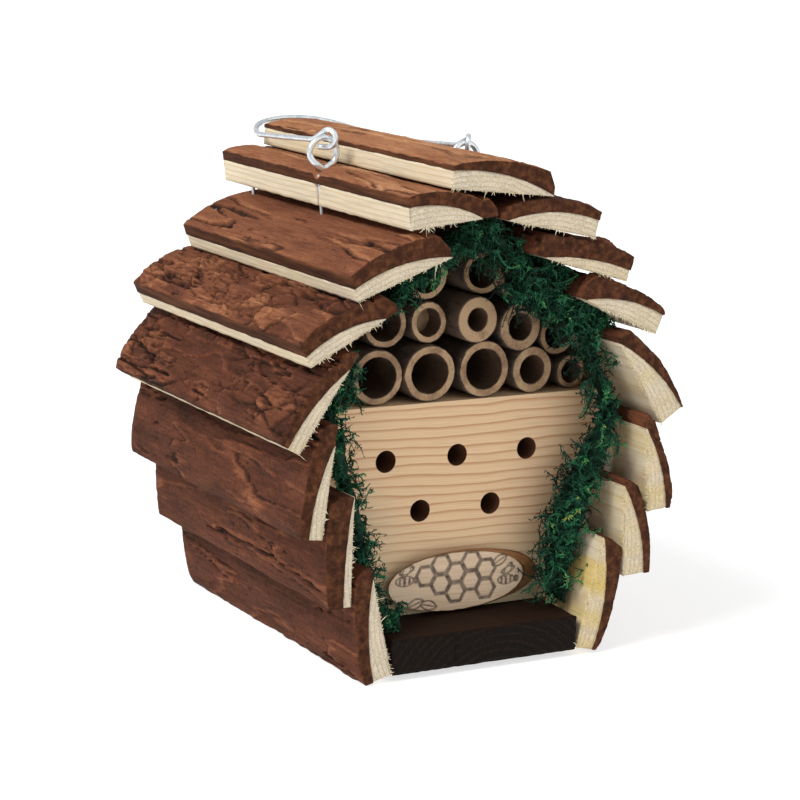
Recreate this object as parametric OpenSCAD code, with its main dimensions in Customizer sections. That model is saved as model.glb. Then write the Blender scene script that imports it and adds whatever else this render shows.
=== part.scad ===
// Hanging insect house: fifteen bark slabs lapped like roof tiles round a drilled
// pine block, a stack of bamboo canes and a back board, on a dark base board.
// The front faces -Y, +Z is up, and the origin is the middle of the base's underside.

/* [House] */
// Width between the lower inner edges of the two widest slabs
house_w = 146; // [120:1:180]
// Height from the ground to the underside of the ridge slab
house_h = 167.5; // [140:0.5:205]
// Depth of the house from front to back
house_d = 140; // [115:1:170]

/* [Slabs] */
// Thickness added to the sawn wood of every slab
slab_extra = 0; // [-1:0.25:1.5]
// Thickness added to the bark of every slab
bark_extra = 0; // [-1:0.25:1.5]
// Running gap left where the bark tucks under the next slab
lap_gap = 0.2; // [0.1:0.1:0.5]
// Air gap over the second left slab, whose neighbour stands on its brads
brad_air = 2.5; // [0.5:0.5:4]

/* [Base and boards] */
// Width of the base board
base_w = 75.4; // [60:0.2:90]
// Thickness of the base board
base_t = 12.7; // [10:0.1:16]
// Thickness of the back board
back_t = 9; // [6:0.5:12]
// Distance from the back of the house to the outer face of the back board
back_inset = 8.5; // [8:0.5:14]
// Clearance between the boards and the slabs nailed round them
board_gap = 0.2; // [0.1:0.1:0.5]

/* [Drilled block] */
// Height of the top face of the block above the ground
block_top = 89.2; // [78:0.2:104]
// Distance from the front of the house to the block's drilled face
porch_d = 25; // [20:0.5:30]
// Diameter of the nesting holes
hole_d = 8; // [6:0.5:10]
// Depth of the nesting holes
hole_depth = 60; // [40:1:70]
// Distance between two holes in one row
hole_pitch = 28.9; // [22:0.1:34]
// Distance from the top of the block down to the upper row of holes
hole_edge = 19.7; // [15:0.1:24]
// Distance between the two rows of holes
row_pitch = 19; // [15:0.5:23]

/* [Plaque] */
// Length of the oval slice of wood
plaque_l = 66.5; // [54:0.5:80]
// Height of the oval slice
plaque_h = 23; // [19:0.5:28]
// Thickness of the oval slice
plaque_t = 4.5; // [3:0.1:6]
// Sideways place of the middle of the slice
plaque_x = 2.2; // [-5:0.1:5]

/* [Moss] */
// Distance from the front of the house to the front of the moss
moss_front = 9; // [6:0.5:12]
// Clearance round the moss
moss_gap = 0.3; // [0.2:0.1:0.6]

/* [Hanger] */
// Diameter of the screw-eye wire
eye_wire_d = 2.2; // [1.8:0.1:2.8]
// Outer diameter of the screw-eye ring
eye_d = 13; // [11:0.5:15]
// Length of the screw below the ring
eye_shank = 13; // [9:0.5:16]
// Place of the screw eyes along the depth of the house
eye_y = 2; // [-10:0.5:10]
// Distance of the left screw eye from its slab's foot
eye_u_left = 5.8; // [4:0.1:9]
// Distance of the right screw eye from its slab's foot
eye_u_right = 13.5; // [9:0.1:15]
// How far the left ring is turned down into the bark
eye_sink_left = 1.7; // [0.1:0.1:2]
// How far the right ring is turned down into the bark
eye_sink_right = 0.2; // [0.1:0.1:2]
// Diameter of the bail wire
bail_wire_d = 2; // [1.6:0.1:2.4]
// Clearance between the bail's end loop and the ring it hangs on
bail_play = 0.5; // [0.3:0.05:0.8]
// Distance from the back of the ridge slab to the bail's cross wire
bail_clear = 3.5; // [2.5:0.5:8]
// Radius of the bail's two corners
bail_corner = 14; // [8:1:20]

/* [Brads] */
// Diameter of the brads
brad_d = 1.4; // [1:0.1:2]
// Length of the brads
brad_l = 20; // [16:1:22]

/* [Hidden] */
$fn = 48;
front = -house_d / 2;
back = house_d / 2;
block_front = front + porch_d;
board_back = back - back_inset;
board_front = board_back - back_t;
// The slab list is drawn for a house of this width and height, and stretches with it.
drawn_w = 146;
drawn_h = 167.5;
kx = house_w / drawn_w;
kz = house_h / drawn_h;

// One row for each slab, from the foot up, first left, then the ridge, then right:
// name, side (1 left, -1 right), foot [x, z], lean, width, place of the wood's crown,
// wood at the crown, bark at the foot, bark past the wood's tip, extra length,
// brad's distance from the foot, air under the next slab
SLABS = [
    ["left_7",   1, [-37.9,   0.3], 103,   36,    0,  7.5, 4,   4,    1.5, 4,   0],
    ["left_6",   1, [-54.5,  26.5],  89.5, 38.5,  6,  3.2, 6.5, 0,    0.5, 6,   0],
    ["left_5",   1, [-66,    51],    83,   32.5,  3,  5.5, 4,   7,    1.5, 7,   0],
    ["left_4",   1, [-75.5,  81],    56.5, 33,    6,  5.5, 4,   6,   -0.5, 8,   0],
    ["left_3",   1, [-72,   110],    28,   31.5, 10,  5.5, 5.5, 5.5, -2.5, 10,  0],
    ["left_2",   1, [-55,   131],    20.5, 38,   12,  6,   5.5, 0,   -7.5, 12,  1],
    ["left_1",   1, [-36,   154],     6,   28,    3,  8,   4.5, 6,    3.5, 1.5, 0],
    ["cap",      1, [-21,   167.5],  -5.5, 41,   10,  7,   2.5, 0,    2,   7,   0],
    ["right_1", -1, [38,    148.5],  11.5, 36.5,  9,  7,   4,   3.5,  1,   8,   0],
    ["right_2", -1, [52,    132.5],  16,   35.5,  8,  4.5, 6,   5,   -2,   8,   0],
    ["right_3", -1, [65.5,  113],    24.5, 33,    5,  7.5, 2.5, 3,    2,   8,   0],
    ["right_4", -1, [70,     80],    57,   36,    0, 10,   1,   4,   -1,   8,   0],
    ["right_5", -1, [66,     48],    85,   31,    0,  8,   3,   4.5,  1,   6,   0],
    ["right_6", -1, [56.5,   25],    87.5, 33.5,  0,  9,   3,   2,    0,   6,   0],
    ["right_7", -1, [37.9,   0.5],  103,   41,   10,  7.5, 3,   0,    2,   4,   0],
];
CAP = 7;
LAST = len(SLABS) - 1;
cap_bark_end = 8;
tip_t = 0.5;
arc_steps = 9;
bark_shoulder = 2.5;

function name(i) = SLABS[i][0];
function side(i) = SLABS[i][1];
function drawn_foot(i) = [SLABS[i][2][0] * kx, SLABS[i][2][1] * kz];
// The lowest pair of slabs stand against the base board
function foot(i) = i == 0 || i == LAST ? [-side(i) * (base_w / 2 + board_gap), drawn_foot(i)[1]] : drawn_foot(i);
// The slab's flat inner face from foot to tip, stretched with the house
function tip(i) = drawn_foot(i) + SLABS[i][4] * [side(i) * kx * cos(SLABS[i][3]), kz * sin(SLABS[i][3])];
function run(i) = tip(i) - foot(i);
function width(i) = norm(run(i));
function along(i) = run(i) / width(i);
function outward(i) = side(i) * [-along(i)[1], along(i)[0]];
function crown_u(i) = SLABS[i][5];
function wood_t(i) = SLABS[i][6] + slab_extra;
function bark_foot(i) = SLABS[i][7] + bark_extra;
function bark_over(i) = SLABS[i][8];
function bark_u(i) = width(i) + bark_over(i);
function slab_back(i) = back + SLABS[i][9];
function place(i, u, v) = foot(i) + u * along(i) + v * outward(i);
function over(i) = i < CAP ? i + 1 : i - 1;
function air(i) = lap_gap + SLABS[i][11] * brad_air;

// Sawn wood: a circle's arc over the flat face, highest at the crown, thin at the tip
function arc_r(i) = let (c = width(i) - crown_u(i), h = wood_t(i) - tip_t)
    (c * c + h * h) / (2 * h);
function wood_v(i, u) = u >= width(i) ? max(0, tip_t - (u - width(i)))
    : sqrt(pow(arc_r(i), 2) - pow(u - crown_u(i), 2)) - arc_r(i) + wood_t(i);

// Distance from slab i's flat face, at u, out to the flat face of the slab lapped over it
function headroom(i, u) = let (n = outward(over(i)), p = place(i, u, 0) - foot(over(i)))
    -(p * n) / (outward(i) * n);
function covered(i, u) = let (p = place(i, u, headroom(i, u)) - foot(over(i)), t = p * along(over(i)))
    t > 0 && t < width(over(i));
// The bark thickens steadily from the foot until it meets the slab lapped over it
function bark_grow(i) = i == CAP ? (cap_bark_end - bark_foot(i)) / bark_u(i)
    : min([for (k = [1:40]) let (u = bark_u(i) * k / 40)
        if (u > width(i) / 4 && covered(i, u))
            (headroom(i, u) - wood_v(i, u) - air(i) - bark_foot(i)) / u]);
function bark_t(i, u) = bark_foot(i) + bark_grow(i) * u;

function wood_line(i) = [for (k = [0:arc_steps]) let (u = width(i) * k / arc_steps) [u, wood_v(i, u)]];
function bark_line(i) = let (end = bark_u(i) - bark_shoulder)
    [for (k = [arc_steps:-1:0]) let (u = end * k / arc_steps) [u, wood_v(i, u) + bark_t(i, u)]];
function bark_end(i) = [[bark_u(i), tip_t], [bark_u(i), bark_t(i, bark_u(i)) / 2]];

module section(i, points) {
    polygon([for (p = points) place(i, p[0], p[1])]);
}

// Stands a drawing of the front view up and gives it a depth
module stand(y_front, y_back) {
    translate([0, y_back, 0]) rotate([90, 0, 0]) linear_extrude(y_back - y_front) children();
}

module slab(i) {
    color("#e6cda2") stand(front, slab_back(i))
        section(i, concat([[0, 0]], wood_line(i), [[width(i), 0]]));
}

module bark(i) {
    color("#7a4630") stand(front, slab_back(i))
        section(i, concat(wood_line(i), bark_end(i), bark_line(i)));
}

// The space inside the slabs: their inner ends in order, from left foot to right foot
centre = [0, house_h / 2];
function tuck(p, gap) = p - gap * (p - centre) / norm(p - centre);
function on_face(i, z) = foot(i) + along(i) * (z - foot(i)[1]) / along(i)[1];
function inner_end(i) = place(i, bark_u(i), 0);
ROOM = concat([on_face(0, base_t)], [for (i = [0:LAST]) if (i != CAP) inner_end(i)], [on_face(LAST, base_t)]);

module room(gap) {
    polygon([for (p = ROOM) tuck(p, gap)]);
}

module base_board() {
    color("#3b241d") translate([-base_w / 2, front, 0]) cube([base_w, house_d, base_t]);
}

module above_base(top) {
    translate([-house_w, base_t]) square([2 * house_w, top - base_t]);
}

module back_board() {
    color("#c9a877") stand(board_front, board_back) intersection() {
        room(board_gap);
        above_base(house_h);
    }
}

hole_z = block_top - hole_edge;
HOLES = concat(
    [for (k = [-1:1]) [k * hole_pitch, hole_z]],
    [for (k = [-1:2:1]) [k * hole_pitch / 2, hole_z - row_pitch]]);

module drilled_block() {
    color("#dfbd98") difference() {
        stand(block_front, board_front) intersection() {
            room(board_gap);
            above_base(block_top);
        }
        for (h = HOLES)
            translate([h[0], block_front - 1, h[1]]) rotate([-90, 0, 0])
                cylinder(d = hole_d, h = hole_depth + 1);
    }
}

// The canes, in the order in which they are laid in: sideways place of the middle,
// outer diameter, bore, distance of the mouth from the front of the house
CANES = [
    [-32.4, 20,   14.5, 26], [-12,   20.5, 14.5, 25], [10.1, 20.8, 14.8, 25],
    [30.8,  17.1, 10.4, 26], [48.7,  12.6,  8,   28],
    [-29.3, 17,   12,   27], [-12,   15,   10,   27], [5.5,  16.8,  8,   23],
    [24.5,  17.5,  9.6, 25], [41.5,  15,   10,   27],
    [-12.7, 17.6, 12.5, 29], [8.7,   15.8, 11,   26], [24.1, 14,    9,   29],
];
// The list suits a loft this wide and this high, and thinner or thicker canes suit another
drawn_loft = [146, 78.3];
cane_k = min(house_w / drawn_loft[0], (house_h - block_top) / drawn_loft[1]);
cane_gap = 0.05;
knot_cane = 6;
knot_depth = 9;
knot_t = 2;
function cane_x(j) = CANES[j][0] * cane_k;
function cane_r(j) = CANES[j][1] * cane_k / 2;
function bore_r(j) = CANES[j][2] * cane_k / 2;
// Each cane drops straight down until it rests on the block or on a cane laid before it
function resting_z(j, laid) = max(concat([block_top + cane_r(j) + cane_gap],
    [for (i = [0:1:j - 1]) let (dx = cane_x(j) - cane_x(i), reach = cane_r(i) + cane_r(j) + cane_gap)
        if (abs(dx) < reach) laid[i] + sqrt(reach * reach - dx * dx)]));
function lay(j, laid) = j == len(CANES) ? laid : lay(j + 1, concat(laid, [resting_z(j, laid)]));
CANE_Z = lay(0, []);

module cane(j) {
    mouth = front + CANES[j][3];
    length = board_front - mouth;
    color("#a5876a") translate([cane_x(j), mouth, CANE_Z[j]]) rotate([-90, 0, 0]) {
        difference() {
            cylinder(r = cane_r(j), h = length);
            translate([0, 0, -1]) cylinder(r = bore_r(j), h = length + 2);
        }
        if (j == knot_cane)
            translate([0, 0, knot_depth]) cylinder(r = bore_r(j), h = knot_t);
    }
}

// Oval slice standing on the base, glued to the block
plaque_seat = 0.1;
oval_steps = 48;
module plaque() {
    z = base_t + plaque_seat + plaque_h / 2;
    color("#e0b88a") stand(block_front - plaque_seat - plaque_t, block_front - plaque_seat)
        polygon([for (k = [0:oval_steps - 1]) let (a = 360 * k / oval_steps)
            [plaque_x + plaque_l / 2 * cos(a), z + plaque_h / 2 * sin(a)]]);
}

// Pads of moss between neighbouring corners of the room, each a convex block:
// the first corner of the run, then how far the moss reaches inwards at each corner
MOSS_LEFT = [0, [6, 6, 6, 5, 4]];
MOSS_CROWN = [5, [3, 6, 7, 7, 6, 5]];
MOSS_RIGHT = [10, [4, 4, 5, 9, 11, 11]];
cane_front = block_front - 2.5;
// The lowest pads end just above the base board
function pad_floor(p) = [p[0], max(p[1], base_t + moss_gap)];
function pad_corner(i, reach, shift, toward) =
    let (p = tuck(ROOM[i], moss_gap + reach), q = tuck(ROOM[toward], moss_gap + reach))
    pad_floor(p + shift * (q - p) / norm(q - p));

module moss(band, y_back) {
    first = band[0];
    reach = band[1];
    color("#1d5a36") stand(front + moss_front, y_back - moss_gap)
        for (k = [0:len(reach) - 2]) let (i = first + k)
            polygon([pad_corner(i, 0, moss_gap, i + 1), pad_corner(i + 1, 0, moss_gap, i),
                pad_corner(i + 1, reach[k + 1], moss_gap, i), pad_corner(i, reach[k], moss_gap, i + 1)]);
}

module moss_left() { moss(MOSS_LEFT, block_front - plaque_t - plaque_seat); }
module moss_crown() { moss(MOSS_CROWN, cane_front); }
module moss_right() { moss(MOSS_RIGHT, block_front - plaque_t - plaque_seat); }

// Two brads through each slab near its foot, one towards the front and one at the back board
brad_front = block_front + 12;
brad_back = (board_front + board_back) / 2;
stilt_brads = [-3, 52];
stilt_slab = CAP - 1;
brad_sink = 1.5;
function brad_y(i) = i == stilt_slab ? stilt_brads : [brad_front, brad_back];
module brads() {
    color("silver") for (i = [0:LAST]) {
        u = SLABS[i][10];
        v = wood_v(i, u) + bark_t(i, u) - brad_sink;
        p = place(i, u, v);
        d = outward(i);
        for (y = brad_y(i))
            translate([p[0], y, p[1]]) rotate([0, atan2(-d[0], -d[1]), 0]) cylinder(d = brad_d, h = brad_l);
    }
}

ring_r = (eye_d - eye_wire_d) / 2;
module screw_eye(at) {
    color("#c4cad2") translate([at[0], eye_y, at[1]]) {
        rotate([90, 0, 0]) rotate_extrude() translate([ring_r, 0]) circle(d = eye_wire_d);
        translate([0, 0, -ring_r - eye_shank]) cylinder(d = eye_wire_d, h = eye_shank);
    }
}

// A ring stands on its slab's bark
function eye_at(i, u, sink) = place(i, u, wood_v(i, u) + bark_t(i, u)) + [0, eye_d / 2 - sink];
eye_left = eye_at(CAP - 1, eye_u_left, eye_sink_left);
eye_right = eye_at(CAP + 1, eye_u_right, eye_sink_right);
bail_reach = slab_back(CAP) - eye_y + bail_clear;

// The bail hinges on the tops of the two rings, so its hinge line joins them
hinge_left = eye_left + [0, ring_r];
hinge_right = eye_right + [0, ring_r];
bail_span = norm(hinge_right - hinge_left);
bail_slope = atan2(hinge_left[1] - hinge_right[1], hinge_right[0] - hinge_left[0]);
loop_r = eye_wire_d / 2 + bail_play + bail_wire_d / 2;
loop_turn = 330;

module wire(length) {
    cylinder(d = bail_wire_d, h = length);
}

module bail_half() {
    x = bail_span / 2;
    // End loop round the ring, open just past a full turn
    translate([x, 0, 0]) rotate([90, 0, 90]) rotate([0, 0, -90 - loop_turn])
        rotate_extrude(angle = loop_turn) translate([loop_r, 0]) circle(d = bail_wire_d);
    translate([x, 0, -loop_r]) rotate([-90, 0, 0]) wire(bail_reach - bail_corner);
    translate([x - bail_corner, bail_reach - bail_corner, -loop_r])
        rotate_extrude(angle = 90) translate([bail_corner, 0]) circle(d = bail_wire_d);
    translate([0, bail_reach, -loop_r]) rotate([0, 90, 0]) wire(x - bail_corner);
}

module bail() {
    color("#b9c1cb") translate([hinge_left[0], eye_y, hinge_left[1]]) rotate([0, bail_slope, 0])
        translate([bail_span / 2, 0, 0]) {
            bail_half();
            mirror([1, 0, 0]) bail_half();
        }
}

ROWS = [5, 5, 3];
function cane_name(j) = j < ROWS[0] ? str("cane_low_", j + 1)
    : j < ROWS[0] + ROWS[1] ? str("cane_mid_", j + 1 - ROWS[0])
    : str("cane_top_", j + 1 - ROWS[0] - ROWS[1]);

for (i = [0:LAST]) {
    slab(i);
    bark(i);
}
for (j = [0:len(CANES) - 1])
    cane(j);
base_board();
back_board();
drilled_block();
plaque();
moss_left();
moss_crown();
moss_right();
brads();
screw_eye(eye_left);  // screw_eye_left
screw_eye(eye_right);  // screw_eye_right
bail();
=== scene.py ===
import math
import bpy
import numpy as np
from mathutils import Matrix, Vector


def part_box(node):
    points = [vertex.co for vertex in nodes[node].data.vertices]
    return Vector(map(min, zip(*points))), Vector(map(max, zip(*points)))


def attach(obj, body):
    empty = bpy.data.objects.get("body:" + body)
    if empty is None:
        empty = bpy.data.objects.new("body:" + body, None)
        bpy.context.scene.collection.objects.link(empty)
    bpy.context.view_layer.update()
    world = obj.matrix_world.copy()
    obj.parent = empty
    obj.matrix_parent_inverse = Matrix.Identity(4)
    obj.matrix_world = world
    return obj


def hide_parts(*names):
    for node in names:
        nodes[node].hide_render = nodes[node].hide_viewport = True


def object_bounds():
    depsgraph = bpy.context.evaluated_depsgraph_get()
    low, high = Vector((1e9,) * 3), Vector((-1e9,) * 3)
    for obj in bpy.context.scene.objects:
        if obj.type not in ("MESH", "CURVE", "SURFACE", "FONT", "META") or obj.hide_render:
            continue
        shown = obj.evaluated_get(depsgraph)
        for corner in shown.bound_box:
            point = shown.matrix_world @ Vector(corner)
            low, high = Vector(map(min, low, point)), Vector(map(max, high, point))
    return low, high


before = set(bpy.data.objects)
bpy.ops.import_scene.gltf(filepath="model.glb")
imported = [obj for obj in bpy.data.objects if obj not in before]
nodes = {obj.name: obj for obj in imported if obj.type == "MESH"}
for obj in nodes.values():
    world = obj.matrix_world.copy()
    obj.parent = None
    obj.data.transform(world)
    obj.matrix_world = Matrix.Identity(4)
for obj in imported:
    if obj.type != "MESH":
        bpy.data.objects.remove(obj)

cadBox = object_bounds()   # box of the CAD model before anything is added
scene = bpy.context.scene
mm = 0.001             # every size below is in millimetres until a mesh is made

# Where the camera stands in metres, how it is turned in degrees, and its lens in mm
camera = {"azimuth": 29.67, "elevation": 11.81, "roll": 1.78, "lens": 113.4,
          "place": (-0.4479, -0.7892, 0.2702)}
az, el, roll = (math.radians(camera[k]) for k in ("azimuth", "elevation", "roll"))
backward = np.array([-math.sin(az) * math.cos(el), -math.cos(az) * math.cos(el), math.sin(el)])
level = np.cross([0, 0, 1], backward)
level /= np.linalg.norm(level)
rise = np.cross(backward, level)
right = math.cos(roll) * level + math.sin(roll) * rise
upward = math.cos(roll) * rise - math.sin(roll) * level
cameraData = bpy.data.cameras.new("camera")
cameraData.lens = camera["lens"]
cameraObject = bpy.data.objects.new("camera", cameraData)
scene.collection.objects.link(cameraObject)
pose = np.eye(4)
pose[:3, 0], pose[:3, 1], pose[:3, 2], pose[:3, 3] = right, upward, backward, camera["place"]
cameraObject.matrix_world = Matrix(pose.tolist())
scene.camera = cameraObject
print("camera made")

scene.view_settings.view_transform = "Standard"                  # so that white paper comes out white
# Each lamp is a wide soft sun: where it stands, seen from the house, its strength and its width in degrees
lamps = {"keySun": ((-0.68, -0.14, 0.72), 2.5, 24), "fillSun": ((0.5, -0.8, 0.45), 0.45, 60)}
for lampName, (towards, strength, width) in lamps.items():
    lampData = bpy.data.lights.new(lampName, "SUN")
    lampData.energy, lampData.angle = strength, math.radians(width)
    lamp = bpy.data.objects.new(lampName, lampData)
    scene.collection.objects.link(lamp)
    lamp.rotation_euler = Vector(towards).to_track_quat("Z", "Y").to_euler()


# sRGB hex to the linear colour that a shader takes
def linear(hexColour):
    srgb = [int(hexColour[k:k + 2], 16) / 255 for k in (1, 3, 5)]
    return [c / 12.92 if c <= 0.04045 else ((c + 0.055) / 1.055) ** 2.4 for c in srgb] + [1.0]


# Adds one node. settings are its properties, inputs its sockets: a value, or an output to link
def addNode(tree, kind, settings=None, inputs=None):
    node = tree.nodes.new(kind)
    for key, value in (settings or {}).items():
        if key == "stops":                      # colour ramp: place and hex or grey of each stop
            ramp = node.color_ramp
            while len(ramp.elements) < len(value):
                ramp.elements.new(0.5)
            for element, (place, colour) in zip(ramp.elements, value):
                element.position = place
                element.color = linear(colour) if isinstance(colour, str) else (colour, colour, colour, 1)
        else:
            setattr(node, key, value)
    for key, value in (inputs or {}).items():
        if isinstance(value, bpy.types.NodeSocket):
            tree.links.new(value, node.inputs[key])
        else:
            node.inputs[key].default_value = value
    return node


# A new material: its node tree, and its shader with the constants set on the sockets
def startMaterial(name, roughness, metallic=0.0):
    material = bpy.data.materials.new(name)
    material.use_nodes = True
    tree = material.node_tree
    shader = tree.nodes["Principled BSDF"]
    shader.inputs["Roughness"].default_value = roughness
    shader.inputs["Metallic"].default_value = metallic
    return material, tree, shader


# A repeatable random number from 0 to 1 for each pair of whole numbers
def latticeRandom(i, j, seed):
    h = (i.astype(np.int64) * 374761393 + j.astype(np.int64) * 668265263 + seed * 974634777) & 0xffffffff
    h = ((h ^ (h >> 13)) * 1274126177) & 0xffffffff
    return ((h ^ (h >> 16)) & 0xffff) / 65535.0


# Random values at whole x and y, blended smoothly between, from -1 to 1
def smoothNoise(x, y, seed):
    i, j = np.floor(x), np.floor(y)
    fx, fy = x - i, y - j
    fx, fy = fx * fx * (3 - 2 * fx), fy * fy * (3 - 2 * fy)
    low = latticeRandom(i, j, seed) * (1 - fx) + latticeRandom(i + 1, j, seed) * fx
    high = latticeRandom(i, j + 1, seed) * (1 - fx) + latticeRandom(i + 1, j + 1, seed) * fx
    return 2 * (low * (1 - fy) + high * fy) - 1


# Smooth noise summed at doubling pitch and halving height
def roughNoise(x, y, seed, octaves=4):
    parts = [smoothNoise(x * 2 ** k, y * 2 ** k, seed + 31 * k) * 0.5 ** k for k in range(octaves)]
    return sum(parts) / (2 - 0.5 ** (octaves - 1))


# Distance to the nearest and second nearest of scattered points, and the nearest one's random number
def cellNoise(x, y, seed):
    i, j = np.floor(x), np.floor(y)
    first, second = np.full(x.shape, 9.0), np.full(x.shape, 9.0)
    owner = np.zeros(x.shape)
    for di in (-1, 0, 1):
        for dj in (-1, 0, 1):
            cx = i + di + latticeRandom(i + di, j + dj, seed)
            cy = j + dj + latticeRandom(i + di, j + dj, seed + 5)
            d = np.hypot(cx - x, cy - y)
            nearer = d < first
            second = np.where(nearer, first, np.minimum(second, d))
            owner = np.where(nearer, latticeRandom(i + di, j + dj, seed + 11), owner)
            first = np.minimum(first, d)
    return first, second, owner


# 0 below low, 1 above high, and a smooth step between
def ease(x, low, high):
    t = np.clip((x - low) / (high - low), 0, 1)
    return t * t * (3 - 2 * t)


# The skin of a box cut into nA x nB x nC cells: its points, in 0 to 1, and its outward faces
def boxSkin(nA, nB, nC):
    cells = (nA, nB, nC)
    points, quads, start = [], [], 0
    for axis in range(3):
        p, q = (axis + 1) % 3, (axis + 2) % 3
        for end in (0, 1):
            i, j = np.meshgrid(np.arange(cells[p] + 1), np.arange(cells[q] + 1), indexing="ij")
            layer = np.zeros((i.size, 3), int)
            layer[:, axis], layer[:, p], layer[:, q] = end * cells[axis], i.ravel(), j.ravel()
            k = np.arange(i.size).reshape(i.shape) + start
            quad = np.stack([k[:-1, :-1], k[1:, :-1], k[1:, 1:], k[:-1, 1:]], -1).reshape(-1, 4)
            quads.append(quad if end else quad[:, ::-1])
            points.append(layer)
            start += i.size
    merged, index = np.unique(np.concatenate(points), axis=0, return_inverse=True)
    return merged / np.array(cells), index.reshape(-1)[np.concatenate(quads)]


# Flips the faces if the closed shape they make is inside out, by the sign of its volume
def turnOutward(points, faces):
    a, b, c, d = (points[faces[:, k]] for k in range(4))
    volume = np.einsum("ij,ij->i", a, np.cross(b, c)) + np.einsum("ij,ij->i", a, np.cross(c, d))
    return faces if volume.sum() > 0 else faces[:, ::-1]


# Writes named values, a number or a vector for each point, into a mesh for the materials to read
def addAttributes(mesh, attributes):
    for key, values in attributes.items():
        kind, field = ("FLOAT_VECTOR", "vector") if np.ndim(values) == 2 else ("FLOAT", "value")
        layer = mesh.attributes.new(key, kind, "POINT")
        layer.data.foreach_set(field, np.asarray(values, np.float32).ravel())


# A mesh piece from points in mm and arrays of faces, with its point attributes, riding on its body
def makePiece(name, points, faceSets, material, slotName, stands=(), body="house", **attributes):
    mesh = bpy.data.meshes.new(name)
    mesh.vertices.add(len(points))
    mesh.vertices.foreach_set("co", (np.asarray(points) * mm).astype(np.float32).ravel())
    widths = np.concatenate([np.full(len(f), f.shape[1]) for f in faceSets])
    corners = np.concatenate([f.ravel() for f in faceSets])
    mesh.loops.add(len(corners))
    mesh.loops.foreach_set("vertex_index", corners.astype(np.int32))
    mesh.polygons.add(len(widths))
    mesh.polygons.foreach_set("loop_start", (np.cumsum(widths) - widths).astype(np.int32))
    mesh.polygons.foreach_set("use_smooth", np.ones(len(widths), bool))
    mesh.update(calc_edges=True)
    mesh.validate()
    addAttributes(mesh, attributes)
    mesh.materials.append(material)
    piece = bpy.data.objects.new(name, mesh)
    scene.collection.objects.link(piece)
    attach(piece, body)
    if stands:
        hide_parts(*stands)


# A round tube: at each point of the path a ring of points square to it, with flat ends. The radius is one
# number, one for each point of the path, or one for each point of each ring
def tubeAlong(path, radius, sides):
    n = len(path)
    ahead = np.gradient(path, axis=0)
    ahead /= np.linalg.norm(ahead, axis=1)[:, None]
    side = np.zeros_like(path)
    start = np.cross(ahead[0], [0.31, 0.72, 0.62])               # any direction that the wire never takes
    side[0] = start / np.linalg.norm(start)
    for k in range(1, n):                                        # carries the ring's side along without twist
        step = side[k - 1] - ahead[k] * (side[k - 1] @ ahead[k])
        side[k] = step / np.linalg.norm(step)
    other = np.cross(ahead, side)
    turn = np.arange(sides) * 2 * math.pi / sides
    radius = np.broadcast_to(np.asarray(radius, float), (n,) if np.ndim(radius) < 2 else (n, sides))
    radius = radius[:, None] if radius.ndim == 1 else radius
    points = (path[:, None] + radius[..., None] * (np.cos(turn)[None, :, None] * side[:, None]
              + np.sin(turn)[None, :, None] * other[:, None])).reshape(-1, 3)
    k = np.arange(n * sides).reshape(n, sides)
    around = np.roll(k, -1, 1)
    quads = np.stack([k[:-1], around[:-1], around[1:], k[1:]], -1).reshape(-1, 4)
    return points, [quads, np.stack([k[0, ::-1], k[-1]])]


# Thin three-sided fibres round many centre lines at once, given as an array (fibres, points, 3). The
# radius follows half a sine wave along the line, so that a fibre tapers to both ends
def strands(centres, radius):
    count, length, _ = centres.shape
    ahead = np.gradient(centres, axis=1)
    ahead /= np.linalg.norm(ahead, axis=2, keepdims=True) + 1e-9
    side = np.cross(ahead, [0.37, 0.61, 0.70])                   # any direction, seldom a fibre's own
    side /= np.linalg.norm(side, axis=2, keepdims=True) + 1e-9
    other = np.cross(ahead, side)
    turn = np.arange(3) * 2 * math.pi / 3
    taper = 0.25 + 0.75 * np.sin(np.linspace(0.15, 1, length) * math.pi) ** 0.6
    size = (radius[:, None] * taper[None])[..., None, None]
    points = centres[:, :, None] + size * (np.cos(turn)[:, None] * side[:, :, None]
                                           + np.sin(turn)[:, None] * other[:, :, None])
    k = np.arange(count * length * 3).reshape(count, length, 3)
    around = np.roll(k, -1, 2)
    quads = np.stack([k[:, :-1], around[:, :-1], around[:, 1:], k[:, 1:]], -1).reshape(-1, 4)
    caps = np.concatenate([k[:, 0, ::-1], k[:, -1]])
    return points.reshape(-1, 3), [quads, caps]


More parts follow.
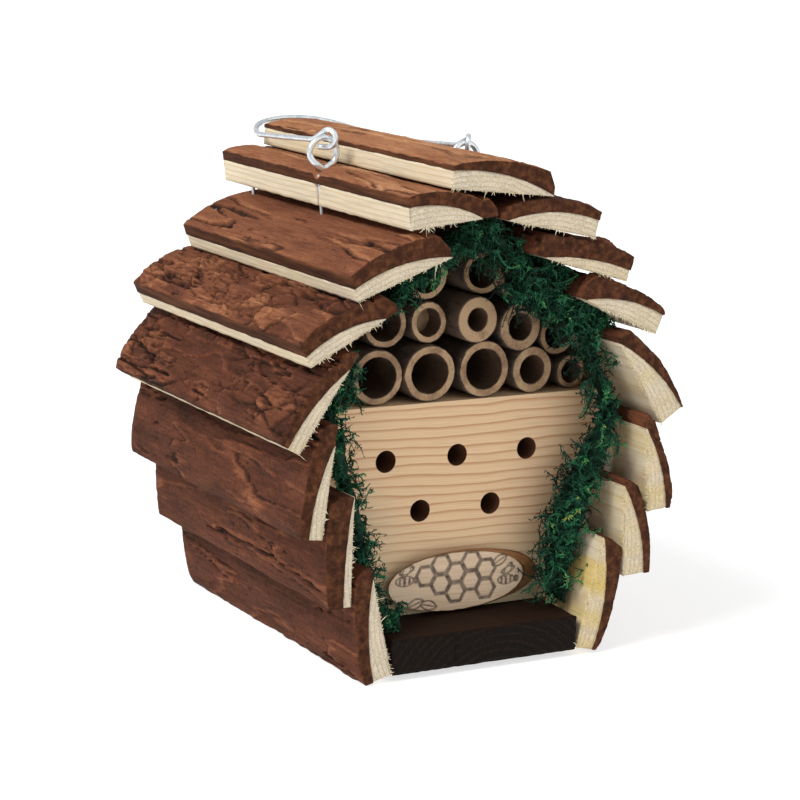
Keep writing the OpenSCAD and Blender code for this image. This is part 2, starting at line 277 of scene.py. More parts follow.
# Larch bark: matt, corky, layered in flakes, red-brown with painted highlights on the rims of flakes and
# cracks, near black painted shade in the cracks, and a dense dark brown where it was sawn through
def barkMaterial():
    material, tree, shader = startMaterial("larchBark", 0.9)
    place = addNode(tree, "ShaderNodeTexCoord").outputs["Object"]
    crack, rim, cut, tone, plate = (
        addNode(tree, "ShaderNodeAttribute", {"attribute_name": key}).outputs["Fac"]
        for key in ("crack", "rim", "cut", "tone", "plate"))
    long = addNode(tree, "ShaderNodeMapping", None, {"Vector": place, "Scale": (1, 0.3, 1)}).outputs[0]
    thin = addNode(tree, "ShaderNodeMapping", None, {"Vector": place, "Scale": (1, 0.07, 1)}).outputs[0]
    patches = addNode(tree, "ShaderNodeTexNoise", None,                      # 12 mm patches along the log
                      {"Vector": long, "Scale": 85.0, "Detail": 6.0, "Roughness": 0.65}).outputs["Fac"]
    streaks = addNode(tree, "ShaderNodeTexNoise", None,                      # 1 mm fibres, 12 mm long
                      {"Vector": thin, "Scale": 1000.0, "Detail": 5.0, "Roughness": 0.7}).outputs["Fac"]
    specks = addNode(tree, "ShaderNodeTexNoise", None,                       # 0.8 mm corky specks
                     {"Vector": place, "Scale": 1300.0, "Detail": 3.0, "Roughness": 0.7}).outputs["Fac"]
    total = tone
    # the rim term adds a painted highlight along flake edges and crack lips
    for source, weight in ((patches, 0.5), (streaks, 0.5), (specks, 0.4), (rim, 0.15), (plate, 0.26)):
        middle = 0.0 if source == rim else -0.5 * weight
        shift = addNode(tree, "ShaderNodeMath", {"operation": "MULTIPLY_ADD"},
                        {0: source, 1: weight, 2: middle}).outputs[0]
        total = addNode(tree, "ShaderNodeMath", {"operation": "ADD"}, {0: total, 1: shift}).outputs[0]
    skin = addNode(tree, "ShaderNodeValToRGB", {"stops": [
        (0.0, "#1c0e08"), (0.2, "#3b2013"), (0.4, "#5e3422"), (0.6, "#845136"),
        (0.8, "#aa7550"), (1.0, "#cba078")]}, {"Fac": total}).outputs["Color"]
    # painted shade: where the crack attribute rises the colour goes to near black
    dark = addNode(tree, "ShaderNodeMix", {"data_type": "RGBA"},
                   {"Factor": crack, 6: skin, 7: linear("#180d08")}).outputs[2]
    sawnNoise = addNode(tree, "ShaderNodeTexNoise", None,
                        {"Vector": thin, "Scale": 500.0, "Detail": 5.0}).outputs["Fac"]
    sawn = addNode(tree, "ShaderNodeValToRGB", {"stops": [
        (0.3, "#2f170c"), (0.5, "#492815"), (0.72, "#673e25")]}, {"Fac": sawnNoise}).outputs["Color"]
    colour = addNode(tree, "ShaderNodeMix", {"data_type": "RGBA"},
                     {"Factor": cut, 6: dark, 7: sawn}).outputs[2]
    tree.links.new(colour, shader.inputs["Base Color"])
    relief = addNode(tree, "ShaderNodeMath", {"operation": "ADD"}, {0: specks, 1: streaks}).outputs[0]
    bump = addNode(tree, "ShaderNodeBump", None, {"Height": relief, "Strength": 0.6, "Distance": 0.0006})
    tree.links.new(bump.outputs[0], shader.inputs["Normal"])
    shader.inputs["Specular IOR Level"].default_value = 0.2
    return material


# Sawn softwood: matt, pale early wood with thin darker late-wood lines ringWidth mm apart, drawn
# from the grain attribute (mm across the rings, along them, and lengthwise) so that every face agrees.
# wander is how many ring widths the lines stray, lateShare where in a ring the dark line sets in, streak how
# dark the fibres are, endDark how dark the pores of the sawn ends are, and shine how glossy it is
def woodMaterial(name, early, late, tinted, ringWidth, wander=1.2, lateShare=0.55, streak=0.5, endDark=0.25,
                 shine=0.3):
    material, tree, shader = startMaterial(name, 0.72)
    grain = addNode(tree, "ShaderNodeAttribute", {"attribute_name": "grain"}).outputs["Vector"]
    tint = addNode(tree, "ShaderNodeAttribute", {"attribute_name": "tint"}).outputs["Fac"]
    end = addNode(tree, "ShaderNodeAttribute", {"attribute_name": "end"}).outputs["Fac"]
    drift = addNode(tree, "ShaderNodeMapping", None,
                    {"Vector": grain, "Scale": (0.05, 0.04, 0.016)}).outputs[0]
    sway = addNode(tree, "ShaderNodeTexNoise", None,
                   {"Vector": drift, "Scale": 1.0, "Detail": 2.0}).outputs["Fac"]
    across = addNode(tree, "ShaderNodeSeparateXYZ", None, {"Vector": grain}).outputs[0]
    bent = addNode(tree, "ShaderNodeMath", {"operation": "MULTIPLY_ADD"},
                   {0: sway, 1: ringWidth * wander, 2: across}).outputs[0]
    turns = addNode(tree, "ShaderNodeMath", {"operation": "DIVIDE"}, {0: bent, 1: ringWidth}).outputs[0]
    ring = addNode(tree, "ShaderNodeMath", {"operation": "FRACT"}, {0: turns}).outputs[0]
    fibre = addNode(tree, "ShaderNodeMapping", None, {"Vector": grain, "Scale": (2.2, 1.4, 0.05)}).outputs[0]
    streaks = addNode(tree, "ShaderNodeTexNoise", None,                      # 0.5 mm fibres, 20 mm long
                      {"Vector": fibre, "Scale": 1.0, "Detail": 5.0, "Roughness": 0.65}).outputs["Fac"]
    lateWood = addNode(tree, "ShaderNodeValToRGB", {"stops": [
        (0.0, 0.0), (lateShare, 0.12), (0.9, 1.0), (1.0, 0.0)]}, {"Fac": ring}).outputs["Color"]
    faint = addNode(tree, "ShaderNodeMath", {"operation": "MULTIPLY"}, {0: lateWood, 1: streaks}).outputs[0]
    strong = addNode(tree, "ShaderNodeMath", {"operation": "MULTIPLY"}, {0: faint, 1: 1.6}).outputs[0]
    base = addNode(tree, "ShaderNodeMix", {"data_type": "RGBA"},
                   {"Factor": strong, 6: linear(early), 7: linear(late)}).outputs[2]
    warm = addNode(tree, "ShaderNodeMix", {"data_type": "RGBA"},
                   {"Factor": tint, 6: base, 7: linear(tinted)}).outputs[2]
    shade = addNode(tree, "ShaderNodeValToRGB", {"stops": [
        (0.3, 1 - streak * 0.45), (0.55, 1.0)]}, {"Fac": streaks}).outputs["Color"]
    shaded = addNode(tree, "ShaderNodeMix", {"data_type": "RGBA", "blend_type": "MULTIPLY"},
                     {"Factor": 1.0, 6: warm, 7: shade}).outputs[2]
    scorchAndShadeMask = addNode(tree, "ShaderNodeAttribute", {"attribute_name": "bored"}).outputs["Fac"]
    bored = addNode(tree, "ShaderNodeMix", {"data_type": "RGBA"},            # scorched bores, and painted shade in the split
                    {"Factor": scorchAndShadeMask, 6: shaded, 7: linear("#5f3c28")}).outputs[2]
    pores = addNode(tree, "ShaderNodeTexNoise", None,
                    {"Vector": grain, "Scale": 1.6, "Detail": 4.0}).outputs["Fac"]
    poreShade = addNode(tree, "ShaderNodeValToRGB", {"stops": [
        (0.35, 1 - endDark), (0.6, 1.0)]}, {"Fac": pores}).outputs["Color"]
    ended = addNode(tree, "ShaderNodeMix", {"data_type": "RGBA", "blend_type": "MULTIPLY"},
                    {"Factor": end, 6: bored, 7: poreShade}).outputs[2]
    tree.links.new(ended, shader.inputs["Base Color"])
    bump = addNode(tree, "ShaderNodeBump", None, {"Height": streaks, "Strength": 0.35, "Distance": 0.0003})
    tree.links.new(bump.outputs[0], shader.inputs["Normal"])
    shader.inputs["Specular IOR Level"].default_value = shine
    return material


# Dry bamboo: grey-brown skin with a dull sheen, a pinkish tan sawn rim full of fibre dots, and a bore painted
# dark brown as shade
def bambooMaterial():
    material, tree, shader = startMaterial("dryBamboo", 0.7)
    place = addNode(tree, "ShaderNodeTexCoord").outputs["Object"]
    rim, bore, tone = (addNode(tree, "ShaderNodeAttribute", {"attribute_name": key}).outputs["Fac"]
                       for key in ("rim", "bore", "tone"))
    lengthwise = addNode(tree, "ShaderNodeMapping", None, {"Vector": place, "Scale": (1, 0.06, 1)}).outputs[0]
    fibres = addNode(tree, "ShaderNodeTexNoise", None,                       # 0.8 mm fibres along the cane
                     {"Vector": lengthwise, "Scale": 1200.0, "Detail": 4.0}).outputs["Fac"]
    blotches = addNode(tree, "ShaderNodeTexNoise", None,
                       {"Vector": place, "Scale": 160.0, "Detail": 3.0}).outputs["Fac"]
    mixed = addNode(tree, "ShaderNodeMath", {"operation": "MULTIPLY_ADD"},
                    {0: fibres, 1: 0.5, 2: blotches}).outputs[0]
    shifted = addNode(tree, "ShaderNodeMath", {"operation": "MULTIPLY_ADD"},
                      {0: tone, 1: 0.3, 2: mixed}).outputs[0]
    skin = addNode(tree, "ShaderNodeValToRGB", {"stops": [
        (0.55, "#332822"), (0.85, "#4e4036"), (1.0, "#6b584a")]}, {"Fac": shifted}).outputs["Color"]
    sawn = addNode(tree, "ShaderNodeValToRGB", {"stops": [
        (0.5, "#664b34"), (0.8, "#8f6f50"), (1.0, "#b0906c")]}, {"Fac": shifted}).outputs["Color"]
    # painted shade inside the bore
    inside = addNode(tree, "ShaderNodeValToRGB", {"stops": [
        (0.5, "#2c1e15"), (0.9, "#584231")]}, {"Fac": shifted}).outputs["Color"]
    outer = addNode(tree, "ShaderNodeMix", {"data_type": "RGBA"},
                    {"Factor": rim, 6: skin, 7: sawn}).outputs[2]
    colour = addNode(tree, "ShaderNodeMix", {"data_type": "RGBA"},
                     {"Factor": bore, 6: outer, 7: inside}).outputs[2]
    tree.links.new(colour, shader.inputs["Base Color"])
    bump = addNode(tree, "ShaderNodeBump", None, {"Height": fibres, "Strength": 0.4, "Distance": 0.0003})
    tree.links.new(bump.outputs[0], shader.inputs["Normal"])
    return material


# Dried moss dyed green: matt fibres, blue-green, near black where painted shade is put on the mass and deep
# in the tuft, some tips faded to yellow-green
def mossMaterial():
    material, tree, shader = startMaterial("dyedMoss", 0.8)
    tone = addNode(tree, "ShaderNodeAttribute", {"attribute_name": "tone"}).outputs["Fac"]
    place = addNode(tree, "ShaderNodeTexCoord").outputs["Object"]
    patches = addNode(tree, "ShaderNodeTexNoise", None,
                      {"Vector": place, "Scale": 240.0, "Detail": 3.0}).outputs["Fac"]
    mixed = addNode(tree, "ShaderNodeMath", {"operation": "MULTIPLY_ADD"},
                    {0: patches, 1: 0.35, 2: tone}).outputs[0]
    colour = addNode(tree, "ShaderNodeValToRGB", {"stops": [
        (0.15, "#071a12"), (0.35, "#0e3524"), (0.55, "#185238"), (0.75, "#26724c"),
        (0.9, "#4d8f4c"), (1.0, "#a8ad52")]}, {"Fac": mixed}).outputs["Color"]
    tree.links.new(colour, shader.inputs["Base Color"])
    shader.inputs["Specular IOR Level"].default_value = 0.3
    return material


# Zinc-coated steel wire: bright bluish silver with faint drawn streaks and duller patches
def wireMaterial(name, pale, dull, roughness):
    material, tree, shader = startMaterial(name, roughness, 0.8)
    place = addNode(tree, "ShaderNodeTexCoord").outputs["Object"]
    patches = addNode(tree, "ShaderNodeTexNoise", None,
                      {"Vector": place, "Scale": 500.0, "Detail": 4.0}).outputs["Fac"]
    colour = addNode(tree, "ShaderNodeValToRGB", {"stops": [(0.35, dull), (0.6, pale)]}, {"Fac": patches})
    tree.links.new(colour.outputs["Color"], shader.inputs["Base Color"])
    bump = addNode(tree, "ShaderNodeBump", None, {"Height": patches, "Strength": 0.15, "Distance": 0.0002})
    tree.links.new(bump.outputs[0], shader.inputs["Normal"])
    return material


# Planed alder board: an even pinkish tan face with fine lengthwise lines, scorched brown where the picture
# was burned in, and orange-brown sawn edges
def plaqueMaterial():
    material, tree, shader = startMaterial("planedAlder", 0.6)
    grain = addNode(tree, "ShaderNodeAttribute", {"attribute_name": "grain"}).outputs["Vector"]
    burn = addNode(tree, "ShaderNodeAttribute", {"attribute_name": "burn"}).outputs["Fac"]
    side = addNode(tree, "ShaderNodeAttribute", {"attribute_name": "side"}).outputs["Fac"]
    fibre = addNode(tree, "ShaderNodeMapping", None, {"Vector": grain, "Scale": (1.3, 0.5, 0.05)}).outputs[0]
    lines = addNode(tree, "ShaderNodeTexNoise", None,                        # 1 mm lines, 20 mm long
                    {"Vector": fibre, "Scale": 1.0, "Detail": 5.0, "Roughness": 0.6}).outputs["Fac"]
    face = addNode(tree, "ShaderNodeValToRGB", {"stops": [
        (0.3, "#c7a98b"), (0.5, "#d2b799"), (0.7, "#dcc4a8")]}, {"Fac": lines}).outputs["Color"]
    edge = addNode(tree, "ShaderNodeValToRGB", {"stops": [
        (0.3, "#7a502c"), (0.6, "#a5764a")]}, {"Fac": lines}).outputs["Color"]
    body = addNode(tree, "ShaderNodeMix", {"data_type": "RGBA"},
                   {"Factor": side, 6: face, 7: edge}).outputs[2]
    scorch = addNode(tree, "ShaderNodeMath", {"operation": "MULTIPLY"}, {0: burn, 1: 0.95}).outputs[0]
    colour = addNode(tree, "ShaderNodeMix", {"data_type": "RGBA"},
                     {"Factor": scorch, 6: body, 7: linear("#2c1c14")}).outputs[2]
    tree.links.new(colour, shader.inputs["Base Color"])
    bump = addNode(tree, "ShaderNodeBump", None, {"Height": lines, "Strength": 0.3, "Distance": 0.0003})
    tree.links.new(bump.outputs[0], shader.inputs["Normal"])
    return material


# Each wood has the colours of its early wood, its late wood and its tinted parts, and its ring width in mm
bark = barkMaterial()
slabWood = woodMaterial("sawnLarch", "#ddd0b9", "#c5ad8b", "#d9bd74", 1.8, lateShare=0.62)
endWood = woodMaterial("splinteredLarch", "#f3e7cf", "#e2d0ab", "#e8d48a", 1.8)
pine = woodMaterial("planedPine", "#e6c49c", "#bb8159", "#cbbd9a", 3.5, wander=2.2, lateShare=0.62,
                    streak=0.4)
stained = woodMaterial("stainedPine", "#100a07", "#2e1f16", "#28180f", 3.0, lateShare=0.7, streak=0.9,
                       endDark=0.75, shine=0.12)
plywood = woodMaterial("plywood", "#cfa877", "#b58c5c", "#c9a877", 7.0, wander=5.0, lateShare=0.35,
                       streak=0.8)
bamboo = bambooMaterial()
moss = mossMaterial()
plaqueWood = plaqueMaterial()
zinc = wireMaterial("brightZinc", "#f2f6f8", "#d5dde2", 0.3)
galvanised = wireMaterial("galvanisedWire", "#eef3f6", "#cfd8de", 0.36)
bradSteel = wireMaterial("bradSteel", "#d0d0d2", "#a8a8aa", 0.3)
print("materials made")


# The vertices of a CAD node in mm
def nodePoints(node):
    mesh = nodes[node].data
    co = np.zeros(len(mesh.vertices) * 3)
    mesh.vertices.foreach_get("co", co)
    return co.reshape(-1, 3) / mm


# The corners of a CAD node's front end, once each, as x and z in mm
def frontOutline(node):
    co = nodePoints(node)
    flat = co[co[:, 1] < co[:, 1].min() + 0.01][:, [0, 2]]
    return np.unique(flat.round(2), axis=0)


# A slab's section, read from its CAD front end: the flat face is the wood's longest edge, the foot
# is its thick end, and the wood and bark surfaces are heights v over the distance u from the foot
def slabShape(name):
    wood = frontOutline("slab_" + name)
    offset = wood - wood.mean(0)
    wood = wood[np.argsort(np.arctan2(offset[:, 1], offset[:, 0]))]
    edge = np.linalg.norm(np.roll(wood, -1, 0) - wood, axis=1)
    k, n = edge.argmax(), len(wood)
    a, b = wood[k], wood[(k + 1) % n]
    foot, tip = (a, b) if edge[k - 1] > edge[(k + 1) % n] else (b, a)
    width = np.linalg.norm(tip - foot)
    along = (tip - foot) / width
    outward = np.array([-along[1], along[0]])
    if (wood.mean(0) - foot) @ outward < 0:
        outward = -outward
    woodU, woodV = (wood - foot) @ along, (wood - foot) @ outward
    top = np.argsort(woodU + np.where(woodV > 0.05, 0, 1e6))[:np.sum(woodV > 0.05)]
    woodU, woodV = woodU[top], woodV[top]
    outer = frontOutline("bark_" + name) - foot
    barkU, barkV = outer @ along, outer @ outward
    over = barkV > np.interp(barkU, woodU, woodV) + 1.0
    barkU, barkV = barkU[over], barkV[over]
    order = np.argsort(barkU)
    low, high = (np.array(corner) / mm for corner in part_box("slab_" + name))
    return {"foot": foot, "along": along, "outward": outward, "width": width, "woodU": woodU, "woodV": woodV,
            "barkU": barkU[order], "barkV": barkV[order], "front": low[1], "back": high[1]}


# Points of a slab from their place in its own section and their depth in the house
def lay(shape, u, v, y):
    flat = shape["foot"] + u[:, None] * shape["along"] + v[:, None] * shape["outward"]
    return np.column_stack([flat[:, 0], y, flat[:, 1]])


# How each kind of bark is made: size of its flakes across and along the log in mm, in how many layers they
# lie and how thick one is, the size, width, depth and share (0 to 1) of its cracks, how strongly it is
# broken into plates, and how much it swells and how coarse its fibres are
barkKinds = {
    "smooth": {"flake": (16, 130), "layers": 1.5, "step": 0.5, "crackSize": (9, 110), "crackWidth": 0.035,
               "crackDepth": 1.5, "cracked": 0.5, "plates": 0.0, "swell": 0.7, "fibre": 0.16},
    "fissured": {"flake": (14, 160), "layers": 1.8, "step": 0.6, "crackSize": (6.5, 75), "crackWidth": 0.09,
                 "crackDepth": 1.8, "cracked": 0.62, "plates": 0.0, "swell": 0.9, "fibre": 0.2},
    "flaky": {"flake": (12, 45), "layers": 2.2, "step": 0.9, "crackSize": (8, 60), "crackWidth": 0.05,
              "crackDepth": 1.9, "cracked": 0.6, "plates": 1.0, "swell": 1.1, "fibre": 0.14},
    "furrowed": {"flake": (14, 110), "layers": 2.0, "step": 0.65, "crackSize": (10, 120), "crackWidth": 0.03,
                 "crackDepth": 1.5, "cracked": 0.45, "plates": 0.2, "swell": 1.1, "fibre": 0.12}}


# Height of the bark's surface in mm over its mean, how strongly each point is darkened as painted shade (0 to
# 1:
# in cracks, gaps, pits and at the foot of each ledge), how near it is to the painted highlight on the top
# edge of a flake or the lip of a crack, and its plate's random number. Noise drawn out along the log is cut
# into layers with steep ledges, a second such noise opens a crack wherever it passes through zero, and
# scattered cells with gaps between them are the plates. All are read at places bent by a third noise
def barkRelief(kind, u, y, seed):
    look = barkKinds[kind]
    bentU = u + 2.2 * roughNoise(u / 9, y / 30, seed, 4)
    bentY = y + 5.0 * roughNoise(u / 6, y / 14, seed + 9, 4)
    across, along = look["flake"]
    layer = (roughNoise(bentU / across, bentY / along, seed + 3, 5) + 1) * look["layers"]
    part = layer - np.floor(layer)
    # painted shade at the foot of each ledge, also sunk into the surface
    under = (1 - ease(part, 0.01, 0.1)) * ease(roughNoise(u / 7, y / 24, seed + 13, 2), -0.3, 0.2)
    # painted highlight along the top edge of each ledge
    rim = ease(part, 0.06, 0.1) * (1 - ease(part, 0.12, 0.28))
    across, along = look["crackSize"]
    line = roughNoise(bentU / across, bentY / along, seed + 17, 5)
    where = ease(roughNoise(u / 14, y / 45, seed + 23, 3), 0.4 - look["cracked"], 0.7 - look["cracked"])
    width = look["crackWidth"]
    crack = (1 - ease(np.abs(line), width * 0.25, width)) * where
    # painted highlight on the lips of the cracks
    lip = ease(line, width * 0.9, width * 1.6) * (1 - ease(line, width * 2, width * 5))
    rim = np.maximum(rim, lip * where)
    near, second, plate = cellNoise(bentU / 8.5, bentY / 15, seed + 43)          # plates of 8.5 by 15 mm
    near2, second2, plate2 = cellNoise(bentU / 3.4 + 9, bentY / 6.5, seed + 47)  # crumbs of 3.4 by 6.5 mm
    broken = look["plates"] * ease(roughNoise(u / 12, y / 30, seed + 51, 2), -0.45, 0.05)
    fine = look["plates"] * ease(roughNoise(u / 9, y / 22, seed + 53, 2), 0.05, 0.35)
    gap = np.maximum((1 - ease(second - near, 0.02, 0.09)) * broken,
                     0.8 * (1 - ease(second2 - near2, 0.03, 0.14)) * fine)
    pits = ease(roughNoise(bentU / 1.5, bentY / 4.5, seed + 31, 2), 0.62, 0.8) * where
    height = (look["swell"] * roughNoise(u / 16, y / 60, seed + 29, 2)
              + look["step"] * (np.floor(layer) + ease(part, 0.0, 0.1) - look["layers"])
              + broken * (1.1 * (plate - 0.5) + 0.9 * (near - 0.4)) + fine * 0.4 * (plate2 - 0.5)
              - look["crackDepth"] * np.maximum(crack, 0.8 * gap) - 0.7 * pits - 0.3 * under
              + look["fibre"] * roughNoise(u / 0.9, y / 11, seed + 37, 3)
              + 0.16 * roughNoise(u / 1.5, y / 2.4, seed + 41, 3))
    # painted shade: cracks, gaps between plates, pits and ledge feet are darkened
    dark = np.clip(np.maximum(crack, 0.85 * gap) + 0.8 * pits + 0.8 * under, 0, 1)
    return height, dark, rim, 0.5 + (plate - 0.5) * broken


# Each slab's bark (kind, tone from dark to pale: palest on the cap and darker down the sides, partly each
# slab's own bark and partly painted light from above), how yellow its wood is, and its random seed
slabLooks = {
    "cap": ("smooth", 0.73, 0.15, 3), "left_1": ("smooth", 0.65, 0.05, 5),
    "left_2": ("fissured", 0.53, 0.08, 8),
    "left_3": ("flaky", 0.48, 0.1, 12), "left_4": ("flaky", 0.33, 0.15, 15),
    "left_5": ("furrowed", 0.32, 0.1, 21), "left_6": ("furrowed", 0.34, 0.08, 24),
    "left_7": ("furrowed", 0.33, 0.05, 27), "right_1": ("furrowed", 0.3, 0.1, 33),
    "right_2": ("flaky", 0.36, 0.3, 37), "right_3": ("flaky", 0.38, 0.15, 41),
    "right_4": ("furrowed", 0.34, 0.35, 44), "right_5": ("flaky", 0.36, 0.55, 48),
    "right_6": ("furrowed", 0.36, 0.7, 52), "right_7": ("furrowed", 0.34, 0.95, 57)}
eyePlaces = {}                                                   # where a screw eye stands in a slab
for slabName, eyeNode in (("left_1", "screw_eye_left"), ("right_1", "screw_eye_right")):
    low, high = (np.array(corner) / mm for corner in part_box(eyeNode))
    eyePlaces[slabName] = ((low[0] + high[0]) / 2, (low[1] + high[1]) / 2)
eyeFoot = 170                                                    # height of the rings' feet in mm
slabCells = {"bark": (64, 6, 190), "wood": (36, 6, 90)}          # cells across, through and along
# The slab that is split at its brad: how far back in the house and how deep the split is in mm
splitSlab = {"name": "left_1", "y": -3.0, "depth": 2.6, "cells": (30, 10, 300)}
shapes = {name: slabShape(name) for name in slabLooks}


# A slab's bark: a gridded box bent so that its floor lies on the wood and its roof on the bark's
# outer line, with the relief raised on the roof and fading to nothing at the floor
def makeBark(name, shape):
    kind, tone, _, seed = slabLooks[name]
    corner, faces = boxSkin(*slabCells["bark"])
    a, b, c = corner.T
    length = shape["back"] - shape["front"]
    reach = shape["barkU"].max()
    u = a * reach
    y = shape["front"] + c * length
    inner = np.where(u > shape["width"], 0.3, np.interp(u, shape["woodU"], shape["woodV"]))
    outer = np.interp(u, shape["barkU"], shape["barkV"])
    height, crack, rim, plate = barkRelief(kind, u, y, seed)
    edge = np.minimum(y - shape["front"], shape["back"] - y)
    height = height * (0.2 + 0.8 * ease(u, 0, 4)) * (0.35 + 0.65 * ease(edge, 0, 4))
    if name in eyePlaces:                                        # crushed from the screw eye to the edge
        eyeX, eyeY = eyePlaces[name]
        eyeU = (np.array([eyeX, eyeFoot]) - shape["foot"]) @ shape["along"]
        t = np.clip((u - eyeU) / (0 - eyeU), 0, 1)
        height = height - (0.7 + 1.3 * t) * np.exp(-((u - eyeU * (1 - t)) ** 2 + (y - eyeY + 5 * t) ** 2) / 6)
    wear = 1.0 * np.exp(-u / 1.3) + 0.35 * np.exp(-edge / 0.9)   # rounds the sawn edges off
    roof = outer + height - 0.6 - wear * (0.7 + 0.5 * roughNoise(u / 3, y / 5, seed + 71, 2))
    v = inner + b * np.maximum(roof - inner, 0.7)
    ends = (c == 0) | (c == 1)
    y = y + np.where(ends, 0.25 * roughNoise(u / 2.5, v / 2.5, seed + 81, 3) * np.where(c == 0, 1, -1), 0)
    u = u + np.where(a == 0, 0.25 * roughNoise(y / 6, v / 3, seed + 83, 3), 0)
    cut = np.where(ends | (a == 0), 1.0, 0.0)
    points = lay(shape, u, v, y)
    # crack carries the painted shade and rim the painted highlight from barkRelief
    makePiece("barkOf_" + name, points, [turnOutward(points, faces)], bark, "bark", ["bark_" + name],
              crack=crack * (b == 1), rim=rim * (b == 1), cut=cut, tone=np.full(len(a), tone), plate=plate)


# A slab's sawn wood: a gridded box whose roof follows the arc under the bark, with saw marks on the
# flat face and on the ends, and its sharp corners worn by a fraction of a millimetre. A split is a notch in
# the foot's side that is wider and deeper towards the bark, and darkened inside with painted shade
def makeWood(name, shape):
    _, _, tint, seed = slabLooks[name]
    corner, faces = boxSkin(*(splitSlab["cells"] if name == splitSlab["name"] else slabCells["wood"]))
    a, b, c = corner.T
    length = shape["back"] - shape["front"]
    u = a * shape["width"]
    y = shape["front"] + c * length
    top = np.interp(u, shape["woodU"], shape["woodV"])
    v = b * top
    ends = (c == 0) | (c == 1)
    inwards = np.where(c == 0, 1, -1)
    worn = ((a == 0) | (b == 0)) & ends
    y = y + np.where(ends, inwards * (0.2 + 0.25 * roughNoise(u / 1.2, v / 1.2, seed + 91, 3)), 0)
    y = y + np.where(worn, inwards * 0.35, 0)
    v = v + np.where(b == 0, 0.15 * np.sin(y / 1.6) * roughNoise(u / 9, y / 14, seed + 93, 2) + 0.1, 0)
    sawn = 0.18 * roughNoise(y / 5, v / 2, seed + 95, 3)
    notch = np.zeros(len(u))
    u = u + np.where(a == 0, 0.15 + sawn, 0)
    if name == splitSlab["name"]:
        # the notch mask also darkens the split as painted shade
        notch = (a < 0.12) * np.exp(-((y - splitSlab["y"]) / (0.4 + 1.4 * (v / top) ** 2)) ** 2)
        u = u + splitSlab["depth"] * notch * (0.35 + 0.65 * ease(v / top, 0.3, 0.9))
    points = lay(shape, u, v, y)
    heart = np.hypot(u - shape["width"] * 0.35, v + 38)          # the log's middle is far below the flat face
    grain = np.column_stack([heart, u, y])
    patchy = tint * (0.6 + 0.8 * roughNoise(u / 6, y / 30, seed + 97, 2))
    edgeTint = np.clip(patchy + 0.1 * np.exp(-u / 1.2), 0, 1)
    makePiece("woodOf_" + name, points, [turnOutward(points, faces)], slabWood, "sawn_wood",
              ["slab_" + name], grain=grain, tint=edgeTint, end=ends.astype(float), bored=notch)


for name, shape in shapes.items():
    makeBark(name, shape)
    makeWood(name, shape)
print("slabs made", len(shapes))


# Slivers on each slab (twice as many on the right), the share of them at its back end, how far inside the end
# and above the flat face they are rooted, their length and radius, all in mm
splinters = {"perSlab": 120, "backShare": 0.25, "inside": 0.3, "root": 0.35, "length": (0.4, 1.7),
             "radius": (0.07, 0.15), "seed": 11}


# Torn fibres along the sawn edges: short slivers, each a parabola from its root, that stand out of the edges
# of the flat face in clumps
def makeSplinters():
    random = np.random.default_rng(splinters["seed"])
    lines, sizes, tints = [], [], []
    for name, shape in shapes.items():
        count = splinters["perSlab"] * (2 if name.startswith("right") else 1)
        u = random.uniform(0, shape["width"] * 0.95, count)
        back = random.random(count) < splinters["backShare"]
        y = np.where(back, shape["back"] - splinters["inside"], shape["front"] + splinters["inside"])
        reach = random.uniform(*splinters["length"], count) * (0.35 + 1.1 * random.random(count) ** 3)
        clump = ease(roughNoise(u / 5, u * 0, slabLooks[name][3] + 7, 2), -0.3, 0.5)
        reach = reach * (0.35 + 0.9 * clump)
        start = lay(shape, u, np.full(count, splinters["root"]), y)
        outward = np.append(shape["outward"], 0)[[0, 2, 1]]
        along = np.append(shape["along"], 0)[[0, 2, 1]]
        lean = (-outward + random.normal(0, 0.45, (count, 1)) * along
                + np.where(back, 1, -1)[:, None] * random.uniform(0, 0.5, (count, 1)) * np.array([0, 1, 0]))
        bend = random.normal(0, 0.35, (count, 3))
        t = np.linspace(0, 1, 4)[None, :, None]
        lines.append(start[:, None] + (t * lean[:, None] + t ** 2 * bend[:, None]) * reach[:, None, None])
        sizes.append(random.uniform(*splinters["radius"], count))
        tints.append(np.repeat(random.uniform(0, 1, count) * (0.3 + slabLooks[name][2]), 12))
    centres, radius, tint = np.concatenate(lines), np.concatenate(sizes), np.clip(np.concatenate(tints), 0, 1)
    points, faceSets = strands(centres, radius)
    points[:, 2] = np.maximum(points[:, 2], 0.1)                 # none reaches below the floor
    makePiece("splinters", points, faceSets, endWood, "sawn_wood", grain=points, tint=tint,
              end=np.zeros(len(points)))


makeSplinters()
print("splinters made")


# The base board's cells, the x and z of its rings' heart, the rings' pitch and the x of its crack, in mm
baseLooks = {"cells": (60, 12, 110), "ringHeart": (6.0, -24.0), "ringPitch": 3, "crackAt": -12.5, "seed": 4}


